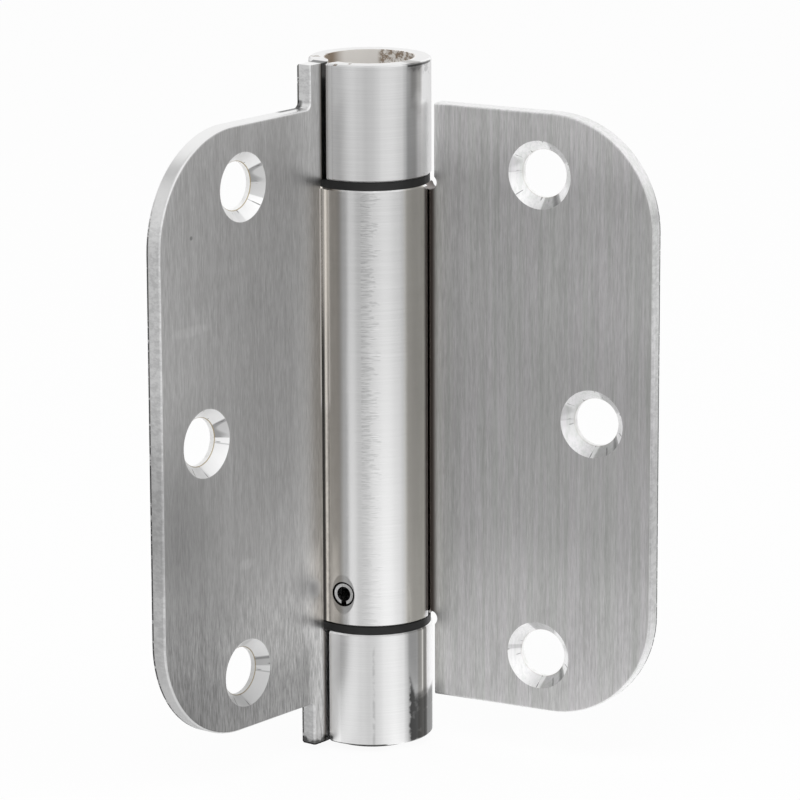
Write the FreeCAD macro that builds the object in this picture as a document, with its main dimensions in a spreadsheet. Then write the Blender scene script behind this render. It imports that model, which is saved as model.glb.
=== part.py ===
"""Spring loaded door hinge with two rolled sheet leaves and a torsion spring in its barrel.

Row frame, millimetres: +Z runs up the pin line, and the origin is on the pin line at the
underside of the plug that closes the barrel's foot. The frame leaf lies along -X with its
countersunk face towards -Y. The door leaf stands at the angle the hinge shows at rest.
"""
import FreeCAD
import Part
import Sketcher
import math
import os

V = FreeCAD.Vector

# Driving dimensions, millimetres and degrees: cell name, value, meaning
SIZES = [
    ("leaf_height", 88.9, "height of each leaf"),
    ("leaf_width", 45.0, "pin line to the outer edge of a leaf"),
    ("corner_radius", 16.2, "outer corners of both leaves"),
    ("sheet_thick", 2.4, "thickness of the sheet"),
    ("edge_round", 0.35, "rounding that the press leaves on the front edges"),
    ("barrel_over", 6.35, "barrel past each end of a leaf"),
    ("barrel_radius", 8.9, "outer radius of the rolled knuckles"),
    ("knuckle_bevel", 0.25, "bevel on the ends of the knuckles"),
    ("pin_offset", 1.6, "front face of a leaf behind the pin line"),
    ("bend_radius", 2.2, "inner radius of the reverse bend beside the barrel"),
    ("seam_gap", 0.3, "gap between the rolled end and the leaf"),
    ("seam_round", 0.3, "rounding of the rolled end along the seam"),
    ("neck_width", 2.8, "neck beside an end knuckle, past the barrel"),
    ("neck_round", 0.8, "corner where the neck meets the leaf"),
    ("end_knuckle", 17.0, "length of each of the frame leaf's knuckles"),
    ("bush_gap", 1.2, "room for a bush flange between two knuckles"),
    ("frame_room", 0.65, "frame leaf's edge at its cut-out, past the barrel"),
    ("door_room", 0.8, "door leaf's edge above and below its knuckle, past the barrel"),
    ("relief_radius", 1.1, "relief notch at each end of the door leaf's bend"),
    ("relief_set", 0.1, "middle of a relief notch past the barrel"),
    ("relief_shift", 0.2, "middle of a relief notch past the end of the knuckle"),
    ("hole_inner", 26.85, "pin line to the top and bottom screw holes"),
    ("hole_edge", 9.6, "middle screw hole to the outer edge of the leaf"),
    ("hole_margin", 8.7, "top and bottom screw holes to the ends of the leaf"),
    ("hole_drop", 0.4, "screw holes below the middle of the leaf"),
    ("screw_hole", 7.0, "diameter of a screw hole"),
    ("screw_sink", 10.0, "diameter of a countersink"),
    ("sink_angle", 82.0, "included angle of a countersink"),
    ("plug_stand", 0.85, "foot plug below the barrel"),
    ("plug_depth", 5.5, "foot plug inside the barrel"),
    ("plug_bevel", 0.15, "bevel round the foot plug"),
    ("flange_inset", 0.2, "edge of a bush flange inside the surface of the barrel"),
    ("bush_bore", 4.25, "radius of the bore of a bush"),
    ("upper_sleeve", 6.0, "length of the upper bush below its flange"),
    ("foot_room", 2.5, "room between the foot plug and the spring anchor"),
    ("end_play", 0.05, "axial play at each flange"),
    ("journal_fit", 0.05, "radial running room of the journals in the bushes"),
    ("journal_over", 1.0, "lower journal past the end of its bush"),
    ("shaft_bevel", 0.4, "bevels on the ends of the turned pieces"),
    ("plug_fit", 0.05, "radial room of the spring anchor in its knuckle"),
    ("head_fit", 0.08, "radial running room of the tension adjuster"),
    ("head_recess", 2.2, "tension adjuster below the rim of the barrel"),
    ("key_flats", 6.0, "hexagon socket across its flats"),
    ("key_depth", 7.0, "depth of the hexagon socket"),
    ("wire_side", 2.4, "square wire of the spring"),
    ("coil_clear", 0.3, "room between the coils and the knuckle round them"),
    ("coil_pitch", 2.9, "rise of the spring in one turn, before its ends are lined up"),
    ("arbor_room", 0.6, "room between the coils and the arbors inside them"),
    ("slot_room", 0.1, "room on each side of the wire in the slot of an arbor"),
    ("hook_radius", 1.6, "bend where the wire turns across the spring"),
    ("hook_short", 0.3, "end of the wire inside the surface of the arbor"),
    ("wire_room", 0.2, "room between the spring and what carries it"),
    ("coil_room", 0.6, "room between the top coil and the upper bush"),
    ("anchor_height", 9.25, "spring anchor above the lower flange"),
    ("roll_pin_rise", 4.77, "roll pin above the end of its knuckle"),
    ("roll_pin_radius", 1.85, "roll pin, outer radius"),
    ("roll_pin_wall", 0.75, "wall of the roll pin"),
    ("roll_pin_slot", 0.85, "open slot of the roll pin"),
    ("roll_pin_bevel", 0.22, "bevels on the ends of the roll pin"),
    ("roll_pin_recess", 0.3, "roll pin below the surface of the barrel"),
    ("roll_pin_stop", 1.1, "roll pin short of the far side of the bore"),
    ("dish_over", 1.1, "oval dish round the roll pin, past its hole"),
    ("dish_depth", 0.2, "oval dish below the surface of the barrel"),
    ("window_width", 10.2, "window for the tension pin, across"),
    ("window_height", 3.0, "window for the tension pin, up and down"),
    ("window_drop", 4.2, "middle of the window below the rim"),
    ("pin_radius", 1.3, "tension pin"),
    ("pin_fit", 0.05, "radial room of the tension pin in its hole"),
    ("pin_room", 0.25, "tension pin clear of the corners of the key"),
    ("pin_stand", 2.5, "tension pin out of the barrel"),
    ("pin_bevel", 0.3, "bevels on the tension pin"),
    ("pin_swing", 24.0, "tension pin at rest, from the middle of its window"),
    ("leaf_angle", 99.5, "angle between the countersunk faces at rest"),
    ("cut_margin", 2.0, "how far a cut runs past the sheet"),
]

doc = FreeCAD.newDocument("spring_hinge")
sizes = doc.addObject("Spreadsheet::Sheet", "sizes")
for row, (name, value, meaning) in enumerate(SIZES, start=1):
    sizes.set("A%d" % row, name)
    sizes.set("B%d" % row, str(value))
    sizes.set("C%d" % row, meaning)
    sizes.setAlias("B%d" % row, name)
doc.recompute()

# Lengths that several pieces share, as sums of the cells
BORE = "(sizes.barrel_radius - sizes.sheet_thick)"
HALF_LEAF = "(sizes.leaf_height / 2)"
HALF_BARREL = "(sizes.leaf_height / 2 + sizes.barrel_over)"
HALF_CUTOUT = "(%s - sizes.end_knuckle)" % HALF_BARREL
HALF_CENTRE = "(%s - sizes.bush_gap)" % HALF_CUTOUT
NECK_REACH = "(sizes.barrel_radius + sizes.neck_width)"
CUT_LENGTH = "(4 * sizes.barrel_radius)"
# Heights up the pin line
MIDDLE = "(sizes.plug_stand + %s)" % HALF_BARREL
PLUG_TOP = "(sizes.plug_stand + sizes.plug_depth)"
LOWER_SEAT = "(sizes.plug_stand + sizes.end_knuckle)"
LOWER_END = "(%s + sizes.bush_gap)" % LOWER_SEAT
TOP_RIM = "(sizes.plug_stand + sizes.leaf_height + 2 * sizes.barrel_over)"
UPPER_SEAT = "(%s - sizes.end_knuckle)" % TOP_RIM
UPPER_END = "(%s - sizes.bush_gap)" % UPPER_SEAT
ANCHOR_TOP = "(%s + sizes.anchor_height)" % LOWER_END
ROLL_PIN_Z = "(%s + sizes.roll_pin_rise)" % LOWER_END
SPRING_FOOT = "(%s + sizes.wire_room + sizes.wire_side / 2)" % ANCHOR_TOP
SPRING_HEAD = "(%s - sizes.upper_sleeve - sizes.coil_room - sizes.wire_side / 2)" % UPPER_END
WINDOW_Z = "(%s - sizes.window_drop)" % TOP_RIM
# Radii of what turns inside the barrel
FLANGE = "(sizes.barrel_radius - sizes.flange_inset)"
JOURNAL = "(sizes.bush_bore - sizes.journal_fit)"
COIL = "(%s - sizes.coil_clear - sizes.wire_side / 2)" % BORE
ARBOR = "(%s - sizes.wire_side / 2 - sizes.arbor_room)" % COIL


def number(expression):
    """Value of a sum of cells."""
    value = sizes.evalExpression(expression)
    return float(getattr(value, "Value", value))


def new_body(label):
    body = doc.addObject("PartDesign::Body", label)
    body.Label = label
    return body


def new_sketch(body, name, plane, offset=V(0, 0, 0), turn=FreeCAD.Rotation()):
    """Sketch on one of the body's own origin planes."""
    sketch = body.newObject("Sketcher::SketchObject", name)
    base = [f for f in body.Origin.OriginFeatures if f.Role == plane][0]
    sketch.AttachmentSupport = [(base, "")]
    sketch.MapMode = "FlatFace"
    sketch.AttachmentOffset = FreeCAD.Placement(offset, turn)
    return sketch


def bind(sketch, name, kind, parts, expression):
    """Dimension of a sketch that follows the sheet."""
    index = sketch.addConstraint(Sketcher.Constraint(kind, *parts, number(expression)))
    sketch.renameConstraint(index, name)
    sketch.setExpression("Constraints." + name, expression)


def polygon(sketch, corners, tag="p"):
    """Closed outline through corners given as pairs of sums of cells."""
    points = [V(number(x), number(y), 0) for x, y in corners]
    lines = []
    for i, start in enumerate(points):
        end = points[(i + 1) % len(points)]
        lines.append(sketch.addGeometry(Part.LineSegment(start, end), False))
    for i, line in enumerate(lines):
        follower = lines[(i + 1) % len(lines)]
        sketch.addConstraint(Sketcher.Constraint("Coincident", line, 2, follower, 1))
        bind(sketch, "%sx%d" % (tag, i), "DistanceX", (-1, 1, line, 1), corners[i][0])
        bind(sketch, "%sy%d" % (tag, i), "DistanceY", (-1, 1, line, 1), corners[i][1])
    return lines


def circle(sketch, tag, x, y, radius):
    """Circle whose place and radius follow the sheet."""
    middle = V(number(x), number(y), 0)
    ring = sketch.addGeometry(Part.Circle(middle, V(0, 0, 1), number(radius)), False)
    bind(sketch, tag + "x", "DistanceX", (-1, 1, ring, 3), x)
    bind(sketch, tag + "y", "DistanceY", (-1, 1, ring, 3), y)
    bind(sketch, tag + "r", "Radius", (ring,), radius)
    return ring


def pad(body, name, sketch, length, symmetric=False, reverse=False):
    feature = body.newObject("PartDesign::Pad", name)
    feature.Profile = sketch
    feature.SideType = "Symmetric" if symmetric else "One side"
    feature.Reversed = reverse
    feature.setExpression("Length", length)
    doc.recompute()
    return feature


def pocket(body, name, sketch, length, symmetric=False, reverse=False):
    """Cut along the sketch's normal. The solid has to lose volume."""
    before = body.Shape.Volume
    feature = body.newObject("PartDesign::Pocket", name)
    feature.Profile = sketch
    feature.SideType = "Symmetric" if symmetric else "One side"
    feature.Reversed = reverse
    feature.setExpression("Length", length)
    doc.recompute()
    if body.Shape.Volume > before - 0.01:
        raise ValueError(name + " cuts nothing")
    return feature


def mirror(body, name, originals):
    """The same features on the other side of the middle of the leaf."""
    feature = body.newObject("PartDesign::Mirrored", name)
    feature.Originals = originals
    feature.MirrorPlane = ([f for f in body.Origin.OriginFeatures if f.Role == "XY_Plane"][0], [""])
    body.Tip = feature
    doc.recompute()
    return feature


def edges_at(shape, test):
    """Names of the edges whose ends and middle all pass the test."""
    found = []
    for i, edge in enumerate(shape.Edges, start=1):
        middle = edge.valueAt((edge.FirstParameter + edge.LastParameter) / 2)
        spots = [vertex.Point for vertex in edge.Vertexes] + [middle]
        if all(test(spot) for spot in spots):
            found.append("Edge%d" % i)
    return found


def dressed(body, name, kind, test):
    """Fillet or chamfer on the edges that pass the test."""
    base = body.Tip
    names = edges_at(base.Shape, test)
    if not names:
        raise ValueError(name + " finds no edge")
    feature = body.newObject("PartDesign::" + kind, name)
    feature.Base = (base, names)
    return feature


def rounded(body, name, test, radius):
    dressed(body, name, "Fillet", test).setExpression("Radius", radius)
    doc.recompute()


def bevelled(body, name, test, size):
    dressed(body, name, "Chamfer", test).setExpression("Size", size)
    doc.recompute()


def near(a, b, room=0.01):
    return abs(a - b) < room


def sheet_section(body):
    """Section of a leaf: a flat plate, the reverse bend behind it, and the roll that goes
    round the back of the pin line and ends square in front of the plate."""
    width = number("sizes.leaf_width")
    front = number("sizes.pin_offset")
    back = front + number("sizes.sheet_thick")
    outer = number("sizes.barrel_radius")
    inner = number(BORE)
    bend = number("sizes.bend_radius")
    wide_bend = bend + number("sizes.sheet_thick")
    bend_y = back + bend
    bend_x = math.sqrt((outer + bend) ** 2 - bend_y ** 2)
    join = math.atan2(bend_y, bend_x)
    end_y = front - number("sizes.seam_gap")
    end = 2 * math.pi + math.asin(end_y / outer)
    up = V(0, 0, 1)
    pin_line = V(0, 0, 0)
    bend_middle = V(bend_x, bend_y, 0)
    quarter = -math.pi / 2

    sketch = new_sketch(body, body.Label + "_section", "XY_Plane")
    add = sketch.addGeometry
    face = add(Part.LineSegment(V(width, front, 0), V(bend_x, front, 0)), False)
    face_bend = add(Part.ArcOfCircle(
        Part.Circle(bend_middle, up, wide_bend), join - math.pi, quarter), False)
    roll_in = add(Part.ArcOfCircle(Part.Circle(pin_line, up, inner), join, end), False)
    square_end = add(Part.LineSegment(
        V(inner * math.cos(end), inner * math.sin(end), 0),
        V(outer * math.cos(end), outer * math.sin(end), 0)), False)
    roll_out = add(Part.ArcOfCircle(Part.Circle(pin_line, up, outer), join, end), False)
    back_bend = add(Part.ArcOfCircle(
        Part.Circle(bend_middle, up, bend), join - math.pi, quarter), False)
    rear = add(Part.LineSegment(V(bend_x, back, 0), V(width, back, 0)), False)
    outer_edge = add(Part.LineSegment(V(width, back, 0), V(width, front, 0)), False)

    fixed = [
        ("Tangent", face, 2, face_bend, 2),
        ("Tangent", face_bend, 1, roll_in, 1),
        ("Tangent", back_bend, 1, roll_out, 1),
        ("Tangent", rear, 1, back_bend, 2),
        ("Coincident", roll_in, 2, square_end, 1),
        ("Coincident", square_end, 2, roll_out, 2),
        ("Coincident", rear, 2, outer_edge, 1),
        ("Coincident", outer_edge, 2, face, 1),
        ("Coincident", face_bend, 3, back_bend, 3),
        ("Coincident", roll_in, 3, -1, 1),
        ("Coincident", roll_out, 3, -1, 1),
        ("Horizontal", face),
        ("Horizontal", rear),
        ("Vertical", outer_edge),
        ("PointOnObject", -1, 1, square_end),
    ]
    for constraint in fixed:
        sketch.addConstraint(Sketcher.Constraint(*constraint))
    bind(sketch, "width", "DistanceX", (-1, 1, face, 1), "sizes.leaf_width")
    bind(sketch, "front", "DistanceY", (-1, 1, face, 1), "sizes.pin_offset")
    bind(sketch, "thick", "DistanceY", (face, 1, rear, 2), "sizes.sheet_thick")
    bind(sketch, "bore", "Radius", (roll_in,), BORE)
    bind(sketch, "bend", "Radius", (back_bend,), "sizes.bend_radius")
    bind(sketch, "seam", "DistanceY", (-1, 1, square_end, 2), "sizes.pin_offset - sizes.seam_gap")
    return sketch


def screw_holes(body, drop):
    """Three countersunk holes, the middle one nearer the outer edge."""
    front = number("sizes.pin_offset")
    sketch = new_sketch(body, body.Label + "_hole_places", "XZ_Plane", V(0, 0, -front))
    sketch.setExpression("AttachmentOffset.Base.z", "-sizes.pin_offset")
    radius = "sizes.screw_hole / 2"
    rise = "(%s - sizes.hole_margin)" % HALF_LEAF
    circle(sketch, "top", "sizes.hole_inner", "%s + %s" % (rise, drop), radius)
    circle(sketch, "middle", "sizes.leaf_width - sizes.hole_edge", drop, radius)
    circle(sketch, "bottom", "sizes.hole_inner", "-%s + %s" % (rise, drop), radius)
    doc.recompute()
    before = body.Shape.Volume
    holes = body.newObject("PartDesign::Hole", body.Label + "_screw_holes")
    holes.Profile = sketch
    holes.ThreadType = "None"
    holes.DepthType = "ThroughAll"
    holes.setExpression("Diameter", "sizes.screw_hole")
    holes.HoleCutType = "Countersink"
    holes.HoleCutCustomValues = True
    holes.setExpression("HoleCutDiameter", "sizes.screw_sink")
    holes.setExpression("HoleCutCountersinkAngle", "sizes.sink_angle")
    doc.recompute()
    if body.Shape.Volume > before - 1:
        raise ValueError("the screw holes cut nothing")
    return holes


def rectangle(sketch, left, right, low, high):
    return polygon(sketch, [(left, low), (right, low), (right, high), (left, high)])


def turned(label, steps):
    """Round piece about the pin line, from radius and height of each corner."""
    body = new_body(label)
    sketch = new_sketch(body, label + "_profile", "XZ_Plane")
    polygon(sketch, steps)
    doc.recompute()
    feature = body.newObject("PartDesign::Revolution", label + "_turned")
    feature.Profile = sketch
    feature.ReferenceAxis = (sketch, ["V_Axis"])
    feature.Angle = 360
    doc.recompute()
    return body


def leaf_corner(x, z):
    """Test for the short edges through the sheet at one place of the leaf."""
    def test(spot):
        plate = spot.y > number("sizes.pin_offset") - 0.01
        return near(spot.x, x) and near(abs(spot.z), z) and plate
    return test


# Frame leaf: one sheet with an end knuckle at each end. It is drawn with its top downwards
# and turned over about Y, so that both leaves share one section.
frame_leaf = new_body("frame_leaf")
section = sheet_section(frame_leaf)
doc.recompute()
pad(frame_leaf, "frame_leaf_sheet", section, "2 * " + HALF_BARREL, symmetric=True)

above_leaf = new_sketch(frame_leaf, "frame_leaf_above", "XZ_Plane")
rectangle(above_leaf, NECK_REACH, "sizes.leaf_width + sizes.cut_margin",
          HALF_LEAF, HALF_BARREL + " + sizes.cut_margin")
neck_cut = pocket(frame_leaf, "frame_leaf_neck_cut", above_leaf, CUT_LENGTH, symmetric=True)
mirror(frame_leaf, "frame_leaf_neck_cuts", [neck_cut])

middle_gap = new_sketch(frame_leaf, "frame_leaf_gap", "XZ_Plane")
rectangle(middle_gap, "-sizes.barrel_radius - sizes.cut_margin",
          "sizes.barrel_radius + sizes.frame_room", "-" + HALF_CUTOUT, HALF_CUTOUT)
pocket(frame_leaf, "frame_leaf_cutout", middle_gap, CUT_LENGTH, symmetric=True)

# Window for the tension pin, in the upper knuckle on the side away from the leaf
window = new_sketch(frame_leaf, "frame_leaf_window", "YZ_Plane")
window_z = "(%s - %s)" % (MIDDLE, WINDOW_Z)
round_end = number("sizes.window_height") / 2
reach = number("sizes.window_width") / 2 - round_end
level = number(window_z)
right_end = window.addGeometry(Part.ArcOfCircle(
    Part.Circle(V(reach, level, 0), V(0, 0, 1), round_end), -math.pi / 2, math.pi / 2), False)
left_end = window.addGeometry(Part.ArcOfCircle(
    Part.Circle(V(-reach, level, 0), V(0, 0, 1), round_end), math.pi / 2, 3 * math.pi / 2), False)
upper_side = window.addGeometry(Part.LineSegment(
    V(reach, level + round_end, 0), V(-reach, level + round_end, 0)), False)
lower_side = window.addGeometry(Part.LineSegment(
    V(-reach, level - round_end, 0), V(reach, level - round_end, 0)), False)
for constraint in [
    ("Tangent", right_end, 2, upper_side, 1),
    ("Tangent", upper_side, 2, left_end, 1),
    ("Tangent", left_end, 2, lower_side, 1),
    ("Tangent", lower_side, 2, right_end, 1),
    ("Horizontal", upper_side),
    ("Symmetric", left_end, 3, right_end, 3, -2),
]:
    window.addConstraint(Sketcher.Constraint(*constraint))
bind(window, "round", "Radius", (right_end,), "sizes.window_height / 2")
bind(window, "reach", "DistanceX", (-1, 1, right_end, 3),
     "(sizes.window_width - sizes.window_height) / 2")
bind(window, "level", "DistanceY", (-1, 1, right_end, 3), window_z)
pocket(frame_leaf, "frame_leaf_pin_window", window, "sizes.barrel_radius + sizes.cut_margin")

rounded(frame_leaf, "frame_leaf_corners",
        leaf_corner(number("sizes.leaf_width"), number(HALF_LEAF)), "sizes.corner_radius")
rounded(frame_leaf, "frame_leaf_neck_corners",
        leaf_corner(number(NECK_REACH), number(HALF_LEAF)), "sizes.neck_round")
screw_holes(frame_leaf, "sizes.hole_drop")

# Door leaf: one sheet with the long knuckle in the middle of its height
door_leaf = new_body("door_leaf")
section = sheet_section(door_leaf)
doc.recompute()
pad(door_leaf, "door_leaf_sheet", section, "sizes.leaf_height", symmetric=True)

beside_knuckle = new_sketch(door_leaf, "door_leaf_beside", "XZ_Plane")
rectangle(beside_knuckle, "-sizes.barrel_radius - sizes.cut_margin",
          "sizes.barrel_radius + sizes.door_room", HALF_CENTRE, HALF_LEAF + " + sizes.cut_margin")
end_cut = pocket(door_leaf, "door_leaf_end_cut", beside_knuckle, CUT_LENGTH, symmetric=True)
mirror(door_leaf, "door_leaf_end_cuts", [end_cut])

relief = new_sketch(door_leaf, "door_leaf_relief", "XZ_Plane",
                    V(0, 0, -number("sizes.pin_offset - sizes.seam_gap / 2")))
relief.setExpression("AttachmentOffset.Base.z", "-(sizes.pin_offset - sizes.seam_gap / 2)")
circle(relief, "notch", "sizes.barrel_radius + sizes.relief_set",
       HALF_CENTRE + " + sizes.relief_shift", "sizes.relief_radius")
notch = pocket(door_leaf, "door_leaf_notch", relief, CUT_LENGTH)
mirror(door_leaf, "door_leaf_notches", [notch])

rounded(door_leaf, "door_leaf_corners",
        leaf_corner(number("sizes.leaf_width"), number(HALF_LEAF)), "sizes.corner_radius")
screw_holes(door_leaf, "-sizes.hole_drop")

# Hole for the roll pin, square to the leaf through the front wall of the knuckle
pin_hole = new_sketch(door_leaf, "door_leaf_pin_hole", "XZ_Plane")
circle(pin_hole, "pin", "0", "-%s + sizes.roll_pin_rise" % HALF_CENTRE, "sizes.roll_pin_radius")
pocket(door_leaf, "door_leaf_roll_pin_hole", pin_hole,
       "sizes.barrel_radius + sizes.cut_margin", reverse=True)
# Shallow oval dish that the pin punch left round the hole
DISH_RADIUS = "((sizes.roll_pin_radius + sizes.dish_over)^2 / (2 * sizes.dish_depth))"
dish = new_sketch(door_leaf, "door_leaf_dish", "YZ_Plane")
circle(dish, "dish", "-(sizes.barrel_radius - sizes.dish_depth + %s)" % DISH_RADIUS,
       "-%s + sizes.roll_pin_rise" % HALF_CENTRE, DISH_RADIUS)
pocket(door_leaf, "door_leaf_pin_dish", dish, "2 * sizes.barrel_radius", symmetric=True)


def finish_edges(body, knuckle_ends):
    """Soften the seam, the front outline of the plate and the ends of the knuckles, which
    lie this far above and below the middle of the leaf."""
    front = number("sizes.pin_offset")
    outer = number("sizes.barrel_radius")
    seam_y = front - number("sizes.seam_gap")

    def on_seam(spot):
        return near(spot.y, seam_y) and near(math.hypot(spot.x, spot.y), outer)

    def on_outline(spot):
        return near(spot.y, front) and near(spot.x, number("sizes.leaf_width"))

    def on_knuckle(spot):
        on_end = any(near(abs(spot.z), end) for end in knuckle_ends)
        return on_end and near(math.hypot(spot.x, spot.y), outer)

    rounded(body, body.Label + "_seam_edge", on_seam, "sizes.seam_round")
    rounded(body, body.Label + "_front_edge", on_outline, "sizes.edge_round")
    bevelled(body, body.Label + "_knuckle_edges", on_knuckle, "sizes.knuckle_bevel")


finish_edges(frame_leaf, [number(HALF_BARREL), number(HALF_CUTOUT)])
finish_edges(door_leaf, [number(HALF_CENTRE)])
frame_leaf.Placement = FreeCAD.Placement(V(0, 0, number(MIDDLE)), FreeCAD.Rotation(V(0, 1, 0), 180))
door_turn = FreeCAD.Rotation(V(0, 0, 1), 180 + number("sizes.leaf_angle"))
door_leaf.Placement = FreeCAD.Placement(V(0, 0, number(MIDDLE)), door_turn)

# Bushes: a flange between two knuckles and a sleeve pressed into the knuckle below
upper_bearing_bush = turned("upper_bearing_bush", [
    ("sizes.bush_bore", UPPER_END + " - sizes.upper_sleeve"),
    (BORE, UPPER_END + " - sizes.upper_sleeve"),
    (BORE, UPPER_END),
    (FLANGE, UPPER_END),
    (FLANGE, UPPER_SEAT + " - sizes.end_play"),
    ("sizes.bush_bore", UPPER_SEAT + " - sizes.end_play"),
])
JOURNAL_FOOT = "(%s + sizes.foot_room)" % PLUG_TOP
lower_bearing_bush = turned("lower_bearing_bush", [
    ("sizes.bush_bore", JOURNAL_FOOT + " + sizes.journal_over"),
    (BORE, JOURNAL_FOOT + " + sizes.journal_over"),
    (BORE, LOWER_SEAT),
    (FLANGE, LOWER_SEAT),
    (FLANGE, LOWER_END + " - sizes.end_play"),
    ("sizes.bush_bore", LOWER_END + " - sizes.end_play"),
])
bottom_end_plug = turned("bottom_end_plug", [
    ("0", "0"),
    (BORE + " - sizes.plug_bevel", "0"),
    (BORE, "sizes.plug_bevel"),
    (BORE, PLUG_TOP + " - sizes.plug_bevel"),
    (BORE + " - sizes.plug_bevel", PLUG_TOP),
    ("0", PLUG_TOP),
])

# Spring anchor: journal in the lower bush, head in the long knuckle, slotted arbor above
HEAD = "(%s - sizes.plug_fit)" % BORE
ARBOR_TOP = "(%s + sizes.wire_side + 2 * sizes.wire_room)" % ANCHOR_TOP
anchor_plug = turned("anchor_plug", [
    ("0", JOURNAL_FOOT),
    (JOURNAL + " - sizes.shaft_bevel", JOURNAL_FOOT),
    (JOURNAL, JOURNAL_FOOT + " + sizes.shaft_bevel"),
    (JOURNAL, LOWER_END),
    (HEAD, LOWER_END),
    (HEAD, ANCHOR_TOP),
    (ARBOR, ANCHOR_TOP),
    (ARBOR, ARBOR_TOP),
    ("0", ARBOR_TOP),
])

# Tension adjuster: head in the upper knuckle, journal in the upper bush, slotted arbor below
HEAD_TOP = "(%s - sizes.head_recess)" % TOP_RIM
ADJUSTER_HEAD = "(%s - sizes.head_fit)" % BORE
ARBOR_SHOULDER = "(%s - sizes.upper_sleeve - sizes.coil_room / 2)" % UPPER_END
ARBOR_FOOT = "(%s - sizes.wire_side / 2 - sizes.wire_room)" % SPRING_HEAD
tension_adjuster = turned("tension_adjuster", [
    ("0", ARBOR_FOOT),
    (ARBOR, ARBOR_FOOT),
    (ARBOR, ARBOR_SHOULDER),
    (JOURNAL, ARBOR_SHOULDER),
    (JOURNAL, UPPER_SEAT),
    (ADJUSTER_HEAD, UPPER_SEAT),
    (ADJUSTER_HEAD, HEAD_TOP + " - sizes.shaft_bevel"),
    (ADJUSTER_HEAD + " - sizes.shaft_bevel", HEAD_TOP),
    ("0", HEAD_TOP),
])


def end_slot(body, low, high):
    """Slot across an arbor for the end of the spring."""
    sketch = new_sketch(body, body.Label + "_slot", "YZ_Plane")
    side = "(sizes.wire_side / 2 + sizes.slot_room)"
    rectangle(sketch, "-" + side, side, low, high)
    doc.recompute()
    return pocket(body, body.Label + "_spring_slot", sketch, CUT_LENGTH, symmetric=True)


end_slot(anchor_plug, ANCHOR_TOP, ARBOR_TOP + " + sizes.cut_margin")
end_slot(tension_adjuster, ARBOR_FOOT + " - sizes.cut_margin",
         "%s + sizes.wire_side / 2 + sizes.wire_room" % SPRING_HEAD)

# Cross hole of the spring anchor, in line with the hole in the door leaf's knuckle
cross_hole = new_sketch(anchor_plug, "anchor_plug_cross", "XZ_Plane")
circle(cross_hole, "cross", "0", ROLL_PIN_Z, "sizes.roll_pin_radius")
doc.recompute()
pocket(anchor_plug, "anchor_plug_cross_hole", cross_hole, CUT_LENGTH, symmetric=True)
anchor_plug.Placement = FreeCAD.Placement(V(0, 0, 0), door_turn)

# Hexagon socket for the key
socket_sketch = new_sketch(tension_adjuster, "tension_adjuster_key", "XY_Plane",
                           V(0, 0, number(HEAD_TOP)))
socket_sketch.setExpression("AttachmentOffset.Base.z", HEAD_TOP)
key_reach = "sizes.key_flats / sqrt(3)"
half_reach = "sizes.key_flats / sqrt(3) / 2"
half_flats = "sizes.key_flats / 2"
polygon(socket_sketch, [
    (key_reach, "0"),
    (half_reach, half_flats),
    ("-" + half_reach, half_flats),
    ("-" + key_reach, "0"),
    ("-" + half_reach, "-" + half_flats),
    (half_reach, "-" + half_flats),
])
doc.recompute()
pocket(tension_adjuster, "tension_adjuster_socket", socket_sketch, "sizes.key_depth")

# Radial holes of the adjuster, one of which holds the tension pin
radial_hole = new_sketch(tension_adjuster, "tension_adjuster_radial", "YZ_Plane")
circle(radial_hole, "radial", "0", WINDOW_Z, "sizes.pin_radius + sizes.pin_fit")
doc.recompute()
first_hole = pocket(tension_adjuster, "tension_adjuster_pin_hole", radial_hole,
                    "sizes.barrel_radius", reverse=True)
hole_ring = tension_adjuster.newObject("PartDesign::PolarPattern", "tension_adjuster_pin_holes")
hole_ring.Originals = [first_hole]
hole_ring.Axis = ([f for f in tension_adjuster.Origin.OriginFeatures if f.Role == "Z_Axis"][0], [""])
hole_ring.Angle = 360
hole_ring.Occurrences = 4
tension_adjuster.Tip = hole_ring
doc.recompute()
adjuster_turn = FreeCAD.Rotation(V(0, 0, 1), number("sizes.pin_swing"))
tension_adjuster.Placement = FreeCAD.Placement(V(0, 0, 0), adjuster_turn)

# Tension pin: a plain pin that lies along a radial hole and out through the window
tension_pin = new_body("tension_pin")
pin_profile = new_sketch(tension_pin, "tension_pin_profile", "XZ_Plane")
PIN_START = "(sizes.key_flats / sqrt(3) + sizes.pin_room)"
PIN_END = "(sizes.barrel_radius + sizes.pin_stand)"
polygon(pin_profile, [
    (PIN_START, "0"),
    (PIN_END, "0"),
    (PIN_END, "sizes.pin_radius - sizes.pin_bevel"),
    (PIN_END + " - sizes.pin_bevel", "sizes.pin_radius"),
    (PIN_START + " + sizes.pin_bevel", "sizes.pin_radius"),
    (PIN_START, "sizes.pin_radius - sizes.pin_bevel"),
])
doc.recompute()
pin_turned = tension_pin.newObject("PartDesign::Revolution", "tension_pin_turned")
pin_turned.Profile = pin_profile
pin_turned.ReferenceAxis = (pin_profile, ["H_Axis"])
pin_turned.Angle = 360
doc.recompute()
tension_pin.Placement = FreeCAD.Placement(V(0, 0, number(WINDOW_Z)), adjuster_turn)

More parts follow.
